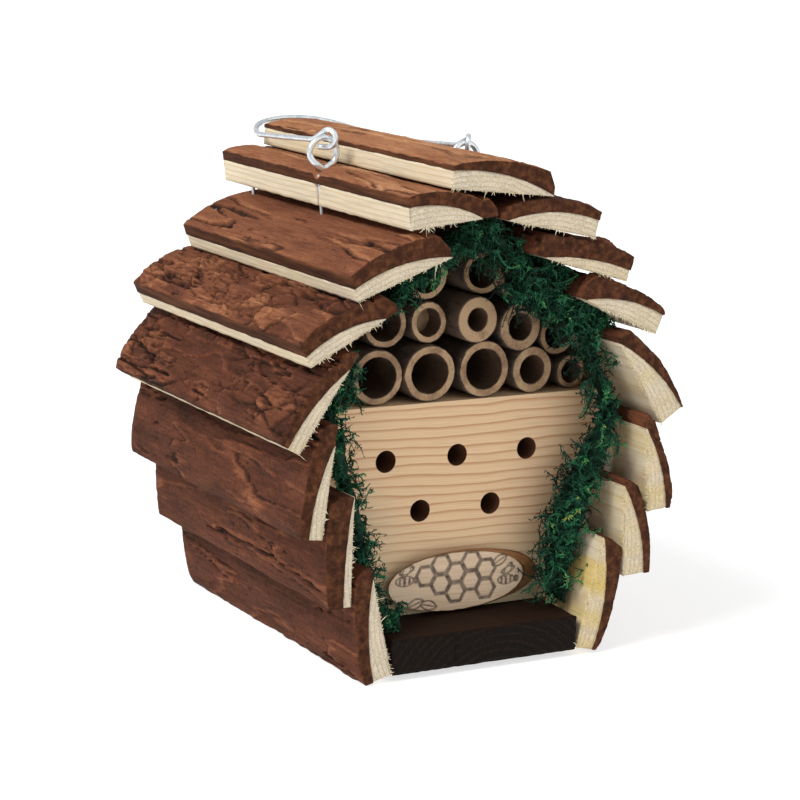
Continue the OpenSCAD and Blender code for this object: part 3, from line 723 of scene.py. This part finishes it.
# The base board: a gridded box with slightly worn corners, rings centred under its front end, and a
# drying crack down the front that runs back along the top
def makeBase():
    low, high = (np.array(corner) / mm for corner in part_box("base_board"))
    corner, faces = boxSkin(*baseLooks["cells"])
    a, b, c = corner.T
    x = low[0] + a * (high[0] - low[0])
    z = low[2] + b * (high[2] - low[2])
    y = low[1] + c * (high[1] - low[1])
    seed = baseLooks["seed"]
    heartX, heartZ = baseLooks["ringHeart"]
    extremes = ((a == 0) | (a == 1)).astype(int) + ((b == 0) | (b == 1)) + ((c == 0) | (c == 1))
    worn = np.where(extremes >= 2, 0.3 + 0.25 * roughNoise(x / 4 + z, y / 4, seed, 3), 0.0)
    x = x - np.sign(a - 0.5) * worn * ((a == 0) | (a == 1))
    y = y - np.sign(c - 0.5) * worn * ((c == 0) | (c == 1))
    z = z - (b == 1) * worn
    line = (baseLooks["crackAt"] + 0.6 * smoothNoise(z / 3, y * 0, seed)
            + 1.2 * smoothNoise(y / 30, z * 0, seed + 2))
    crack = np.exp(-((x - line) / 0.35) ** 2) * ease(-y, 0, 60)
    rings = 0.12 * np.sin(np.hypot(x - heartX, z - heartZ) * 2 * math.pi / baseLooks["ringPitch"])
    y = y + np.where(c == 0, 0.6 * crack + 0.12 * roughNoise(x / 1.5, z / 1.5, seed + 5, 3) + 0.24 + rings, 0)
    z = z - np.where(b == 1, 0.4 * crack + 0.15 * np.abs(roughNoise(x / 2.0, y / 30, seed + 7, 3)), 0)
    grain = np.column_stack([np.hypot(x - heartX, z - heartZ), x, y])
    top = (b == 1) & (c > 0) & (c < 1)
    tint = np.clip(0.75 * top + 0.2 - crack, 0, 1)
    points = np.column_stack([x, y, z])
    makePiece("baseBoard", points, [turnOutward(points, faces)], stained, "stained_wood", ["base_board"],
              grain=grain, tint=tint, end=((c == 0) | (c == 1)).astype(float))


makeBase()


# Gives a CAD node that is already the right shape its material and its grain: mm across the rings, along
# them, and lengthwise, each worked out from x, y and z by a row of the given 3 x 3 table
def dressNode(node, material, table, **attributes):
    mesh = nodes[node].data
    addAttributes(mesh, {"grain": nodePoints(node) @ np.array(table).T, **attributes})
    mesh.materials.clear()
    mesh.materials.append(material)


sapwood = (23, 29)                                # heights over the block's foot in mm where it fades out


# The block's grey-green sapwood lies along its foot, and its bores are the walls that lie inside its outline:
# their distance from every side of the outline's hull is over a millimetre
def dressBlock():
    points = nodePoints("drilled_block")
    normal = np.zeros(len(points) * 3)
    nodes["drilled_block"].data.vertices.foreach_get("normal", normal)
    normal = normal.reshape(-1, 3)
    outer = points[np.abs(normal[:, 1]) < 0.1]
    outerNormal = normal[np.abs(normal[:, 1]) < 0.1]
    sides = np.unique(np.round(outerNormal[:, [0, 2]], 3), axis=0)
    reach = (outer[:, [0, 2]] @ sides.T).max(0)
    inside = np.min(reach - points[:, [0, 2]] @ sides.T, axis=1)
    bored = ((inside > 1) & (np.abs(normal[:, 1]) < 0.1)).astype(float)
    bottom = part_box("drilled_block")[0][2] / mm
    pale = 1 - ease(points[:, 2] + 0.12 * points[:, 0], bottom + sapwood[0], bottom + sapwood[1])
    dressNode("drilled_block", pine, [(0.02, 0.1, 1), (0, 1, 0), (1, 0, 0)], bored=bored, tint=pale * 0.8)


dressBlock()
dressNode("back_board", plywood, [(1, 0, 0), (0, 1, 0), (0, 0, 1)])
dressNode("brads", bradSteel, [(1, 0, 0), (0, 1, 0), (0, 0, 1)])
print("boards made")


# Points round a cane, how far its sawn rim is worn back, and how deep in a cane its knot lies, in mm
caneLooks = {"around": 72, "seed": 70, "rimWorn": 0.35, "knots": {"mid_2": 9}}
# Tone of each cane's sawn rim, and how far out of square its mouth is cut (mm across the rim)
caneTones = {"low_1": (0.2, 0.3), "low_2": (0.5, -0.2), "low_3": (0.3, 0.2), "low_4": (0.6, 0.3),
             "low_5": (0.3, 0.2), "mid_1": (0.2, -0.3), "mid_2": (0.6, 0.4), "mid_3": (0.9, 0.2),
             "mid_4": (0.5, -0.2), "mid_5": (0.3, 0.2), "top_1": (0.7, 0.4), "top_2": (0.6, -0.3),
             "top_3": (0.3, 0.2)}


# A cane: a closed profile (skin, sawn rim, bore, back rim) carried round its axis, a little out of
# round, with a grooved skin and a mouth sawn slightly out of square
def makeCane(key, bore):
    low, high = (np.array(corner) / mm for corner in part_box("cane_" + key))
    seed = caneLooks["seed"] + sum(ord(letter) for letter in key)
    middleX, middleZ, radius = (low[0] + high[0]) / 2, (low[2] + high[2]) / 2, (high[0] - low[0]) / 2
    inner, front, back = bore / 2, low[1], high[1]
    reach = back - front
    down = np.concatenate([[0, 0.25, 0.7, 1.5, 3], np.linspace(5, reach - 1, 26), [reach]])
    worn = caneLooks["rimWorn"] * np.exp(-down / 0.25)
    rimSteps = np.linspace(1, 0, 9)[1:-1]
    profileR = np.concatenate([radius - worn, [radius * 0.5 + inner * 0.5], (inner + 0.5 * worn)[::-1],
                               inner + rimSteps[::-1] * (radius - inner)])
    profileY = np.concatenate([down, [reach], down[::-1], np.zeros(len(rimSteps))])
    zone = np.concatenate([np.zeros(len(down)), [0.5], np.full(len(down), 2.0),   # 0 skin, 0.5 back rim,
                           np.ones(len(rimSteps))])                               # 2 bore, 1 mouth's rim
    turn = np.arange(caneLooks["around"]) * 2 * math.pi / caneLooks["around"]
    r, angle = np.meshgrid(profileR, turn, indexing="ij")
    y = np.repeat(profileY[:, None], len(turn), 1)
    kind = np.repeat(zone[:, None], len(turn), 1)
    oval = 0.012 * (np.cos(2 * angle + seed)
                    + roughNoise(np.cos(angle) * 2 + seed, np.sin(angle) * 2, seed, 2))
    groove = 0.12 * roughNoise(angle * radius / 0.9, y / 60, seed + 3, 2) * (kind == 0)
    ragged = 0.25 * roughNoise(angle * inner / 1.2, y / 6, seed + 5, 3) * (kind == 2)
    r = r * (0.985 + oval) + groove + ragged
    nearMouth = np.exp(-y / 1.5)
    right, up = r * np.cos(angle), r * np.sin(angle)
    y = y + nearMouth * (0.35 + 0.18 * roughNoise(right / 1.1, up / 1.1, seed + 7, 3)
                         + caneTones[key][1] * np.sin(angle + seed))
    points = np.stack([middleX + right, front + y, middleZ + up], -1).reshape(-1, 3)
    k = np.arange(len(points)).reshape(len(profileR), -1)
    k = np.vstack([k, k[:1]])
    around = np.roll(k, -1, 1)
    faces = np.stack([k[:-1], around[:-1], around[1:], k[1:]], -1).reshape(-1, 4)
    faces = turnOutward(points, faces)
    zones = kind.ravel()
    # the bore's wall is marked for the material's painted shade
    rim, dark = (zones == 1) | (zones == 0.5), zones == 2
    if key in caneLooks["knots"]:                                # a bulging disc closes the bore
        corner, discFaces = boxSkin(18, 18, 2)
        p, q, d = corner[:, 0] * 2 - 1, corner[:, 1] * 2 - 1, corner[:, 2]
        discX, discZ = p * np.sqrt(1 - q * q / 2), q * np.sqrt(1 - p * p / 2)
        bulge = 0.8 * (1 - discX ** 2 - discZ ** 2) + 0.5 * roughNoise(discX * 3, discZ * 3, seed, 3)
        disc = np.column_stack([middleX + discX * (inner + 0.3),
                                front + caneLooks["knots"][key] + d * 2 - bulge,
                                middleZ + discZ * (inner + 0.3)])
        faces = np.concatenate([faces, turnOutward(disc, discFaces) + len(points)])
        points = np.concatenate([points, disc])
        rim = np.append(rim, np.ones(len(disc)) * 0.7)
        dark = np.append(dark, np.zeros(len(disc)))
    makePiece("cane" + key, points, [faces], bamboo, "bamboo", ["cane_" + key],
              rim=rim.astype(float), bore=dark.astype(float), tone=np.full(len(points), caneTones[key][0]))


# Bore of each cane in mm
caneBores = {"low_1": 14.5, "low_2": 14.5, "low_3": 14.8, "low_4": 10.4, "low_5": 8, "mid_1": 12, "mid_2": 10,
             "mid_3": 8, "mid_4": 9.6, "mid_5": 10, "top_1": 12.5, "top_2": 11, "top_3": 9}
for key, bore in caneBores.items():
    makeCane(key, bore)
print("canes made", len(caneBores))


# The plaque is sawn aslant: how far its front and back faces are moved sideways, shortened at each end and
# moved up, and how much is taken off both at top and bottom. Its picture: how deep it is burned, half the
# width of a line, how far it is moved sideways, half the width of a comb cell, and around its middle the
# bees (x, z, size), the cells (x, z) and the leaves (x, z, lean). Lengths are in mm, a lean in radians
plaqueLooks = {"cells": (200, 6, 70), "front": (-3.2, 5.2, 0.2), "back": (2.3, 2.3, -0.6), "takenOff": 0.6,
               "seed": 90, "burnDepth": 0.18, "line": 0.72, "pictureAt": -3, "hexagon": 3.6,
               "bees": [(-21.5, 2.4, 0.9), (20.5, -1.5, 0.85)],
               "comb": [(-13, 3.4), (-6.8, -0.2), (-6.8, 7.0), (-0.6, 3.4), (-0.6, -3.8), (5.6, -0.2),
                        (5.6, 7.0), (11.8, 3.4), (11.8, -3.8)],
               "leaves": [(-17.0, -6.6, 0.35), (-11.5, -7.6, -0.25), (17.5, 6.0, 0.5)]}


# How much each point is burned: the union of simple shapes, each 1 inside its outline and 0 a little outside.
# A hexagon is drawn by its distance across flats, a bee by ellipses, a leaf by two crossing arcs
def burnedPicture(x, z):
    line = plaqueLooks["line"]
    burned = np.zeros(x.shape)
    for cx, cz in plaqueLooks["comb"]:
        dx, dz = np.abs(x - cx), np.abs(z - cz)
        across = np.maximum(dz, dx * 0.866 + dz * 0.5)
        ring = np.abs(across - plaqueLooks["hexagon"] * 0.94)
        burned = np.maximum(burned, 1 - ease(ring, line * 0.6, line * 1.25))
    for cx, cz, size in plaqueLooks["bees"]:
        u, v = (x - cx) / size, (z - cz) / size
        body = np.hypot(u / 4.4, v / 2.3)
        stripe = np.abs((u + 1.1) % 2.2 - 1.1) < 0.55
        burned = np.maximum(burned, (1 - ease(body, 0.95, 1.05)) * np.where(stripe | (body > 0.82), 1, 0.12))
        burned = np.maximum(burned, 1 - ease(np.hypot((u - 5.0) / 1.5, v / 1.5), 0.9, 1.1))
        for lean in (0.55, 1.25):
            p = (u - 0.8) * math.cos(lean) - (v - 4.2) * math.sin(lean)
            q = (u - 0.8) * math.sin(lean) + (v - 4.2) * math.cos(lean)
            wing = np.hypot(p / 1.4, q / 3.3)
            burned = np.maximum(burned, 1 - ease(np.abs(wing - 0.95), 0.12, 0.26))
    for cx, cz, lean in plaqueLooks["leaves"]:
        p = (x - cx) * math.cos(lean) + (z - cz) * math.sin(lean)
        q = -(x - cx) * math.sin(lean) + (z - cz) * math.cos(lean)
        blade = np.hypot(p, np.abs(q) + 2.6)
        burned = np.maximum(burned, 1 - ease(np.abs(blade - 4.3), 0.2, 0.45))
        burned = np.maximum(burned, (1 - ease(np.abs(q), 0.15, 0.35)) * (np.abs(p) < 3.2))
    return burned


# The plaque: a gridded box whose square section is drawn out to an ellipse (each side by the root of one
# minus half the other's square), with worn edges, its picture burned a little into the face
def makePlaque():
    low, high = (np.array(corner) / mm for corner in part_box("plaque"))
    corner, faces = boxSkin(*plaqueLooks["cells"])
    p, c, q = corner[:, 0] * 2 - 1, corner[:, 1], corner[:, 2] * 2 - 1
    middle, half = (high + low) / 2, (high - low) / 2
    rim = np.maximum(np.abs(p), np.abs(q)) == 1
    aslant = np.array(plaqueLooks["front"])[:, None] * (1 - c) + np.array(plaqueLooks["back"])[:, None] * c
    worn = (0.35 * (c == 0) + 0.3 * (c == 1)) * rim
    x = p * np.sqrt(1 - q * q / 2) * (half[0] - aslant[1] - worn) + middle[0] + aslant[0]
    z = q * np.sqrt(1 - p * p / 2) * (half[2] - plaqueLooks["takenOff"] - worn) + middle[2] + aslant[2]
    y = low[1] + c * (high[1] - low[1])
    burned = burnedPicture(x - middle[0] - plaqueLooks["pictureAt"], z - middle[2]) * (c == 0)
    seed = plaqueLooks["seed"]
    burned = burned * (0.8 + 0.3 * roughNoise(x / 1.2, z / 1.2, seed, 3))
    lines = 0.06 * roughNoise(x / 12, z / 0.7, seed + 5, 3) + 0.06
    y = y + np.where(c == 0, plaqueLooks["burnDepth"] * burned + lines, 0)
    side = rim.astype(float)
    grain = np.column_stack([z + 0.03 * x, y * 3, x])            # the board's rings run along its length
    points = np.column_stack([x, y, z])
    makePiece("plaqueBoard", points, [turnOutward(points, faces)], plaqueWood, "plaque_wood", ["plaque"],
              grain=grain, burn=burned, side=side)


makePlaque()
print("plaque made")


# What each tuft is made of: sprigs (stems with short curly leaves), their length and how far a leaf reaches,
# radius of stem and leaf, how far the tuft stands out of its pad, spreads inwards from it and reaches into
# the gaps between the slabs, how strongly it hangs, how far it is drawn to the middle (1 is not at all), left
# of which x its sprigs are short, and the gaps it fills (x, z, sprigs, spread). Lengths are in mm
mossLooks = {"left": {"sprigs": 330, "leaves": 13, "length": (5, 11), "leaf": (1.4, 3.6),
                      "radius": (0.26, 0.19), "front": 1.5, "inward": 2.5, "reach": 2.5, "droop": 0.2,
                      "drawn": 1, "shortLeftOf": -99, "fill": [(-33, 18, 40, 2.5)], "seed": 210},
             "crown": {"sprigs": 430, "leaves": 13, "length": (6, 16), "leaf": (1.5, 4.2),
                       "radius": (0.26, 0.18), "front": 3.5, "inward": 4.0, "reach": 7.5, "droop": 0.45,
                       "drawn": 1, "shortLeftOf": -5,
                       "fill": [(14, 131, 35, 2.5), (22, 128, 35, 2.5), (31, 125.5, 35, 2.5),
                                (26, 139.5, 30, 1.8), (32, 137, 40, 1.8)], "seed": 220},
             "right": {"sprigs": 500, "leaves": 11, "length": (6, 13), "leaf": (1.5, 4.0),
                       "radius": (0.28, 0.21), "front": 3.5, "inward": 7.0, "reach": 8.0, "droop": 0.2,
                       "drawn": 0.95, "shortLeftOf": -99,
                       "fill": [(38, 122, 40, 2.5), (44, 120, 50, 2), (48, 118, 40, 1.8)], "seed": 230}}
# The mass under the sprigs: the voxels it is remeshed with in metres, the height of its lumps and its fuzz
# and how far it is sunk in mm, and its tone, kept dark as painted shade for the depths of the tuft
mossCore = {"voxel": 0.0011, "lump": 3.0, "fuzz": 0.9, "sunk": 2.2, "tone": 0.12}
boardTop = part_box("base_board")[1][2] / mm
roomMiddle = np.array([0.0, 75.0])                               # x and z in mm, seen by the whole room
roomOutline = frontOutline("back_board")
roomAngle = np.arctan2(*(roomOutline - roomMiddle).T[::-1])


# Moves points that lie outside the room's outline, seen from its middle, back to just inside it
def keepInRoom(points, margin):
    order = np.argsort(roomAngle)
    corners, angles = roomOutline[order] - roomMiddle, roomAngle[order]
    offset = points[..., [0, 2]] - roomMiddle
    angle = np.arctan2(offset[..., 1], offset[..., 0])
    k = np.searchsorted(angles, angle) % len(angles)
    first, second = corners[k - 1], corners[k]
    edge = second - first
    heading = np.stack([np.cos(angle), np.sin(angle)], -1)
    limit = ((first[..., 0] * edge[..., 1] - first[..., 1] * edge[..., 0])
             / (heading[..., 0] * edge[..., 1] - heading[..., 1] * edge[..., 0]))
    distance = np.hypot(offset[..., 0], offset[..., 1])
    ratio = np.minimum(1, (limit - margin) / np.maximum(distance, 1e-6))
    points[..., 0] = roomMiddle[0] + offset[..., 0] * ratio
    points[..., 2] = roomMiddle[1] + offset[..., 1] * ratio
    return points


# Random places on a CAD node's front faces, spread evenly over their area
def placesOnFront(node, count, random):
    mesh, co = nodes[node].data, nodePoints(node)
    mesh.calc_loop_triangles()
    tri = np.zeros(len(mesh.loop_triangles) * 3, int)
    mesh.loop_triangles.foreach_get("vertices", tri)
    corners = co[tri.reshape(-1, 3)]
    corners = corners[np.all(corners[:, :, 1] < co[:, 1].min() + 0.01, axis=1)]
    area = np.linalg.norm(np.cross(corners[:, 1] - corners[:, 0], corners[:, 2] - corners[:, 0]), axis=1)
    pick = random.choice(len(corners), count, p=area / area.sum())
    s, t = random.random((2, count))
    s, t = np.where(s + t > 1, 1 - s, s), np.where(s + t > 1, 1 - t, t)
    a, b, c = (corners[pick, k] for k in range(3))
    return a + s[:, None] * (b - a) + t[:, None] * (c - a)


# The mass under the fibres, coloured dark as painted shade: the CAD pad remeshed finely and pushed in by
# lumpy noise
def mossMass(node, seed):
    copy = bpy.data.objects.new("mass", nodes[node].data.copy())
    scene.collection.objects.link(copy)
    remesh = copy.modifiers.new("remesh", "REMESH")
    remesh.mode, remesh.voxel_size = "VOXEL", mossCore["voxel"]
    mesh = bpy.data.meshes.new_from_object(copy.evaluated_get(bpy.context.evaluated_depsgraph_get()))
    co, normal = np.zeros(len(mesh.vertices) * 3), np.zeros(len(mesh.vertices) * 3)
    mesh.vertices.foreach_get("co", co)
    mesh.vertices.foreach_get("normal", normal)
    quads = np.zeros(len(mesh.loops), int)
    mesh.loops.foreach_get("vertex_index", quads)
    bpy.data.objects.remove(copy)
    bpy.data.meshes.remove(mesh)
    co, normal = co.reshape(-1, 3) / mm, normal.reshape(-1, 3)
    lump = roughNoise(co[:, 0] / 6 + co[:, 1] / 5, co[:, 2] / 6 - co[:, 1] / 7, seed, 4)
    fuzz = roughNoise(co[:, 0] / 1.7 + co[:, 1] / 2, co[:, 2] / 1.7 - co[:, 1] / 2, seed + 7, 2)
    height = lump[:, None] * mossCore["lump"] + fuzz[:, None] * mossCore["fuzz"] - mossCore["sunk"]
    return co + normal * height, quads.reshape(-1, 4)


# Curly lines from their roots: each heading turns steadily about a random axis, so that the line draws part
# of a circle or a coil, and it leans down a little more with each step
def curls(random, root, heading, length, bend, droop, steps):
    heading = heading / np.linalg.norm(heading, axis=1)[:, None]
    swing = np.cross(heading, random.normal(0, 1, root.shape))
    swing /= np.linalg.norm(swing, axis=1)[:, None]
    t = (np.arange(steps) / (steps - 1))[None, :, None]
    turn = bend[:, None, None] * t
    heads = (np.cos(turn) * heading[:, None] + np.sin(turn) * swing[:, None]
             + 0.3 * np.sin(turn * 2.3 + root[:, :1, None]) * heading[:, None][:, :, [1, 2, 0]]
             + droop * t * np.array([0, 0, -1.0]))
    return root[:, None] + (np.cumsum(heads, axis=1) - heads[:, :1]) * (length / (steps - 1))[:, None, None]


# A tuft: its mass painted dark as shade, the stems that wander over it, and the short leaves that stand off
# each stem
def makeMoss(name, look):
    random = np.random.default_rng(look["seed"])
    low, high = (np.array(corner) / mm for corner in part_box("moss_" + name))
    count = look["sprigs"]
    root = placesOnFront("moss_" + name, count, random)
    root = np.concatenate([root] + [random.normal((x, 0, z), spread, (extra, 3))
                                    for x, z, extra, spread in look["fill"]])
    filling = np.arange(len(root)) >= count
    root[~filling, 0] *= look["drawn"]
    count = len(root)
    root[:, 1] = low[1] + random.random(count) ** 1.5 * (high[1] - low[1] - 3)
    short = root[:, 0] < look["shortLeftOf"]
    pull = (look["inward"] * random.random(count) ** 1.7 * ~filling * ~short)[:, None] * [1, 0, 0.3]
    root = root - pull * np.sign(root[:, :1]) * [1, 0, 0] - pull * [0, 0, 1]
    heading = random.normal(0, 1, (count, 3)) * [1, 0.35, 1]
    length = random.uniform(*look["length"], count) * np.where(short | filling, 0.45, 1)
    stems = curls(random, root, heading, length, random.uniform(0.8, 3.4, count), look["droop"], 9)
    leafCount = count * look["leaves"]
    owner = np.repeat(np.arange(count), look["leaves"])
    place = random.uniform(0.4, 7.99, leafCount)
    step = place.astype(int)
    leafRoot = stems[owner, step] + (place - step)[:, None] * (stems[owner, step + 1] - stems[owner, step])
    leafHeading = random.normal(0, 1, (leafCount, 3)) + 0.5 * (stems[owner, step + 1] - stems[owner, step])
    leafLength = random.uniform(*look["leaf"], leafCount) * (1.15 - place / 12)
    leafBend = random.uniform(1.0, 4.5, leafCount)
    leaves = curls(random, leafRoot, leafHeading, leafLength, leafBend, look["droop"], 4)
    shapesOut, quadsOut, toneOut, start = [], [], [], 0
    clump = roughNoise(root[:, 0] / 6, root[:, 2] / 6, look["seed"] + 3, 2)
    sprigTone = np.clip(0.12 + 0.85 * random.random(count) ** 1.5 + 0.45 * clump, 0, 1)
    leafTone = sprigTone[owner] * 0.6 + 0.25 * random.random(leafCount)
    for lines, radius, tone in ((stems, look["radius"][0], sprigTone * 0.5),
                                (leaves, look["radius"][1], leafTone)):
        lines[..., 1] = np.clip(lines[..., 1], low[1] - look["front"], high[1] - 0.6)
        lines[...] = keepInRoom(lines, 0.4 - look["reach"])
        lines[..., 2] = np.maximum(lines[..., 2], boardTop + 0.4)
        points, faceSets = strands(lines, radius * random.uniform(0.7, 1.3, len(lines)))
        depth = np.clip((low[1] + 6 - lines[..., 1]) / 8, 0.1, 1)   # painted shade: what lies deep in the tuft is darkened
        shapesOut.append(points)
        quadsOut += [faces + start for faces in faceSets]
        toneOut.append(np.repeat((0.1 + 0.9 * tone[:, None] * depth)[..., None], 3, 2).ravel())
        start += len(points)
    mass, quads = mossMass("moss_" + name, look["seed"])
    mass[:, 0] *= look["drawn"]
    points = np.concatenate(shapesOut + [mass])
    makePiece("mossTuft_" + name, points, quadsOut + [quads + start], moss, "moss", ["moss_" + name],
              tone=np.concatenate(toneOut + [np.full(len(mass), mossCore["tone"])]))


for name, look in mossLooks.items():
    makeMoss(name, look)
print("moss made")


# Wire sizes in mm, the angle below the ring's middle, in degrees, from which it runs straight to its foot,
# how far the foot lies below the ring, how far in front its loose end lies, and up to which height over its
# point the shank is threaded
eyeLooks = {"wire": 2.2, "pinchFrom": 38, "steps": 96, "foot": 0.9, "inFront": 1.9, "threadUpTo": 7,
            "threadPitch": 1.1, "threadDepth": 0.16, "sides": 14}


# A screw eye: a wire ring that starts beside its own foot, runs once round, pinches into the shank and goes
# down it, with a shallow thread along the shank's lower part
def makeEye(side):
    low, high = (np.array(corner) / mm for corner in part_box("screw_eye_" + side))
    radius = eyeLooks["wire"] / 2
    ringRadius = (high[0] - low[0]) / 2 - radius
    middle = np.array([(low[0] + high[0]) / 2, (low[1] + high[1]) / 2, high[2] - radius - ringRadius])
    steps = eyeLooks["steps"]
    turn = np.radians(np.linspace(262, -90, steps))              # from the loose end over the top to the foot
    pinch = np.radians(eyeLooks["pinchFrom"])
    below = np.maximum(-turn - pinch, 0) + np.maximum(turn - math.pi - pinch, 0)
    straight = (below / (math.pi / 2 - pinch))[:, None]          # the last part runs straight to the point
    circle = ringRadius * np.column_stack([np.cos(turn), np.zeros(steps), np.sin(turn)])
    hand = np.where(turn > math.pi / 2, -1, 1)
    start = ringRadius * np.column_stack([hand * math.cos(pinch), np.zeros(steps),
                                          np.full(steps, -math.sin(pinch))])
    point = np.array([0, 0, -ringRadius - eyeLooks["foot"]])
    ring = np.where(straight > 0, start + straight * (point - start), circle)
    ring[:, 1] -= eyeLooks["inFront"] * ease(turn, math.radians(180), math.radians(235))
    ring = ring * [1 if side == "left" else -1, 1, 1] + middle
    stem = np.arange(ring[-1, 2] - 0.6, low[2] + 0.4, -0.14)
    shank = np.column_stack([np.full(len(stem), middle[0]), np.full(len(stem), middle[1]), stem])
    path = np.vstack([ring, shank])
    depth = path[:, 2] - low[2]
    upTo = eyeLooks["threadUpTo"]
    threaded = (1 - ease(depth, upTo, upTo + 1)) * (np.arange(len(path)) >= len(ring))
    around = np.arange(eyeLooks["sides"]) * 2 * math.pi / eyeLooks["sides"]
    wave = np.cos(path[:, 2:] * 2 * math.pi / eyeLooks["threadPitch"] + around)
    thickness = radius - threaded[:, None] * eyeLooks["threadDepth"] * (1 - wave)
    thickness = thickness * np.where(np.arange(len(path)) == 0, 0.7, 1.0)[:, None]
    points, faceSets = tubeAlong(path, thickness, eyeLooks["sides"])
    makePiece("screwEye_" + side, points, faceSets, zinc, "zinc_wire", ["screw_eye_" + side])
    return middle, ringRadius


eyes = [makeEye(side) for side in ("left", "right")]


# The bail's wire, and of its loops (left, right): the radius, how far each is moved along the hinge towards
# the middle, and how far it hangs below the hinge. Then how far the loops are turned, where on its circle a
# loop starts and ends in degrees, the length of its loose tip, how far an arm dips behind its ring, leans in
# and falls on its way back, the radius of the corners, how far the wire stands off behind, and how high the
# cross wire is bowed, in mm
bailLooks = {"wire": 2.0, "loopRadius": (3.1, 2.7), "loopInward": (1.8, -1.0), "loopLow": (0.3, 0.15),
             "loopTurned": 30, "loopFrom": 275, "loopTo": 35, "tip": 3.4, "dip": 3.3, "inward": 3.2,
             "droop": 3.6, "corner": 16.0, "behind": 0.8, "bow": 5.7, "sides": 14}


# The bail: at each end a tip and a loop of wire go round the top of the ring, then an arm runs back along the
# top of the house, rounds a corner and meets the other arm behind the cap. The line of its middle is made of
# circles and eased straights, and the cross wire is raised by a parabola
def makeBail():
    radius, corner = bailLooks["wire"] / 2, bailLooks["corner"]
    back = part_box("bail")[1][1] / mm - radius + bailLooks["behind"]
    tops = [middle + [0, 0, ringRadius] for middle, ringRadius in eyes]
    span = np.linalg.norm(tops[1] - tops[0])
    across = (tops[1] - tops[0]) / span
    backwards = np.array([0, 1, 0])
    lift = np.array([-across[2], 0, across[0]])                   # square to the hinge and to the arms
    turned = math.radians(bailLooks["loopTurned"])
    loopTurn = np.radians(np.linspace(bailLooks["loopFrom"], bailLooks["loopTo"], 40))[:, None]
    cornerTurn = np.linspace(0, math.pi / 2, 14)[1:, None]
    s = np.linspace(0.02, 1, 44)[:, None]                         # along an arm, from its loop to its corner
    dip = bailLooks["dip"] * (ease(s, -0.06, 0.16) - ease(0, -0.06, 0.16))
    halves = []
    for top, inwards, loopRadius, moved, lowered in zip(tops, (across, -across), bailLooks["loopRadius"],
                                                        bailLooks["loopInward"], bailLooks["loopLow"]):
        behind = math.cos(turned) * backwards - math.sin(turned) * inwards
        middle = top + moved * inwards - lowered * lift
        loop = middle + loopRadius * (np.cos(loopTurn) * behind + np.sin(loopTurn) * lift)
        tip = loop[0] + np.linspace(bailLooks["tip"], 0.5, 5)[:, None] * (behind - 0.05 * lift)
        reach = back - corner - loop[-1, 1]
        sway = bailLooks["inward"] * s ** 2 + 0.25 * np.sin(s * 7)
        arm = loop[-1] + s * reach * backwards + sway * inwards - (dip + bailLooks["droop"] * s) * lift
        bend = arm[-1] + corner * (np.sin(cornerTurn) * backwards + (1 - np.cos(cornerTurn)) * inwards)
        halves.append(np.vstack([tip, loop, arm, bend]))
    left, right = halves
    t = np.linspace(0, 1, 40)[1:-1, None]
    path = np.vstack([left, left[-1] + t * (right[-1] - left[-1]), right[::-1]])
    sideways = np.abs((path - (tops[0] + tops[1]) / 2) @ across) / span * 2
    behindCap = ease(path[:, 1], back - corner, back - corner * 0.3)
    path = path + (bailLooks["bow"] * np.clip(1 - sideways ** 2, 0, 1) * behindCap)[:, None] * lift
    points, faceSets = tubeAlong(path, radius, bailLooks["sides"])
    makePiece("bailWire", points, faceSets, galvanised, "galvanised_wire", ["bail"], body="bail")


makeBail()
print("wire made")


# The floor, white paper that glows a little so that shadows on it stay faint, and the white air round it
floorLooks = {"size": 200.0, "colour": "#b4b4b4", "glow": 0.66, "air": 0.55}   # metres, and strengths
edge, ground = floorLooks["size"] / 2, cadBox[0][2]
floorMesh = bpy.data.meshes.new("floor")
floorMesh.from_pydata([(-edge, -edge, ground), (edge, -edge, ground), (edge, edge, ground),
                       (-edge, edge, ground)], [], [(0, 1, 2, 3)])
floor = bpy.data.objects.new("floor", floorMesh)
scene.collection.objects.link(floor)
paper, _, paperShader = startMaterial("whitePaper", 0.9)  # matt white paper
paperShader.inputs["Base Color"].default_value = linear(floorLooks["colour"])
paperShader.inputs["Emission Color"].default_value = (1, 1, 1, 1)
paperShader.inputs["Emission Strength"].default_value = floorLooks["glow"]
floorMesh.materials.append(paper)
world = bpy.data.worlds.new("studio")
world.use_nodes = True
world.node_tree.nodes["Background"].inputs["Color"].default_value = (1, 1, 1, 1)
world.node_tree.nodes["Background"].inputs["Strength"].default_value = floorLooks["air"]
scene.world = world
print("floor and light made")
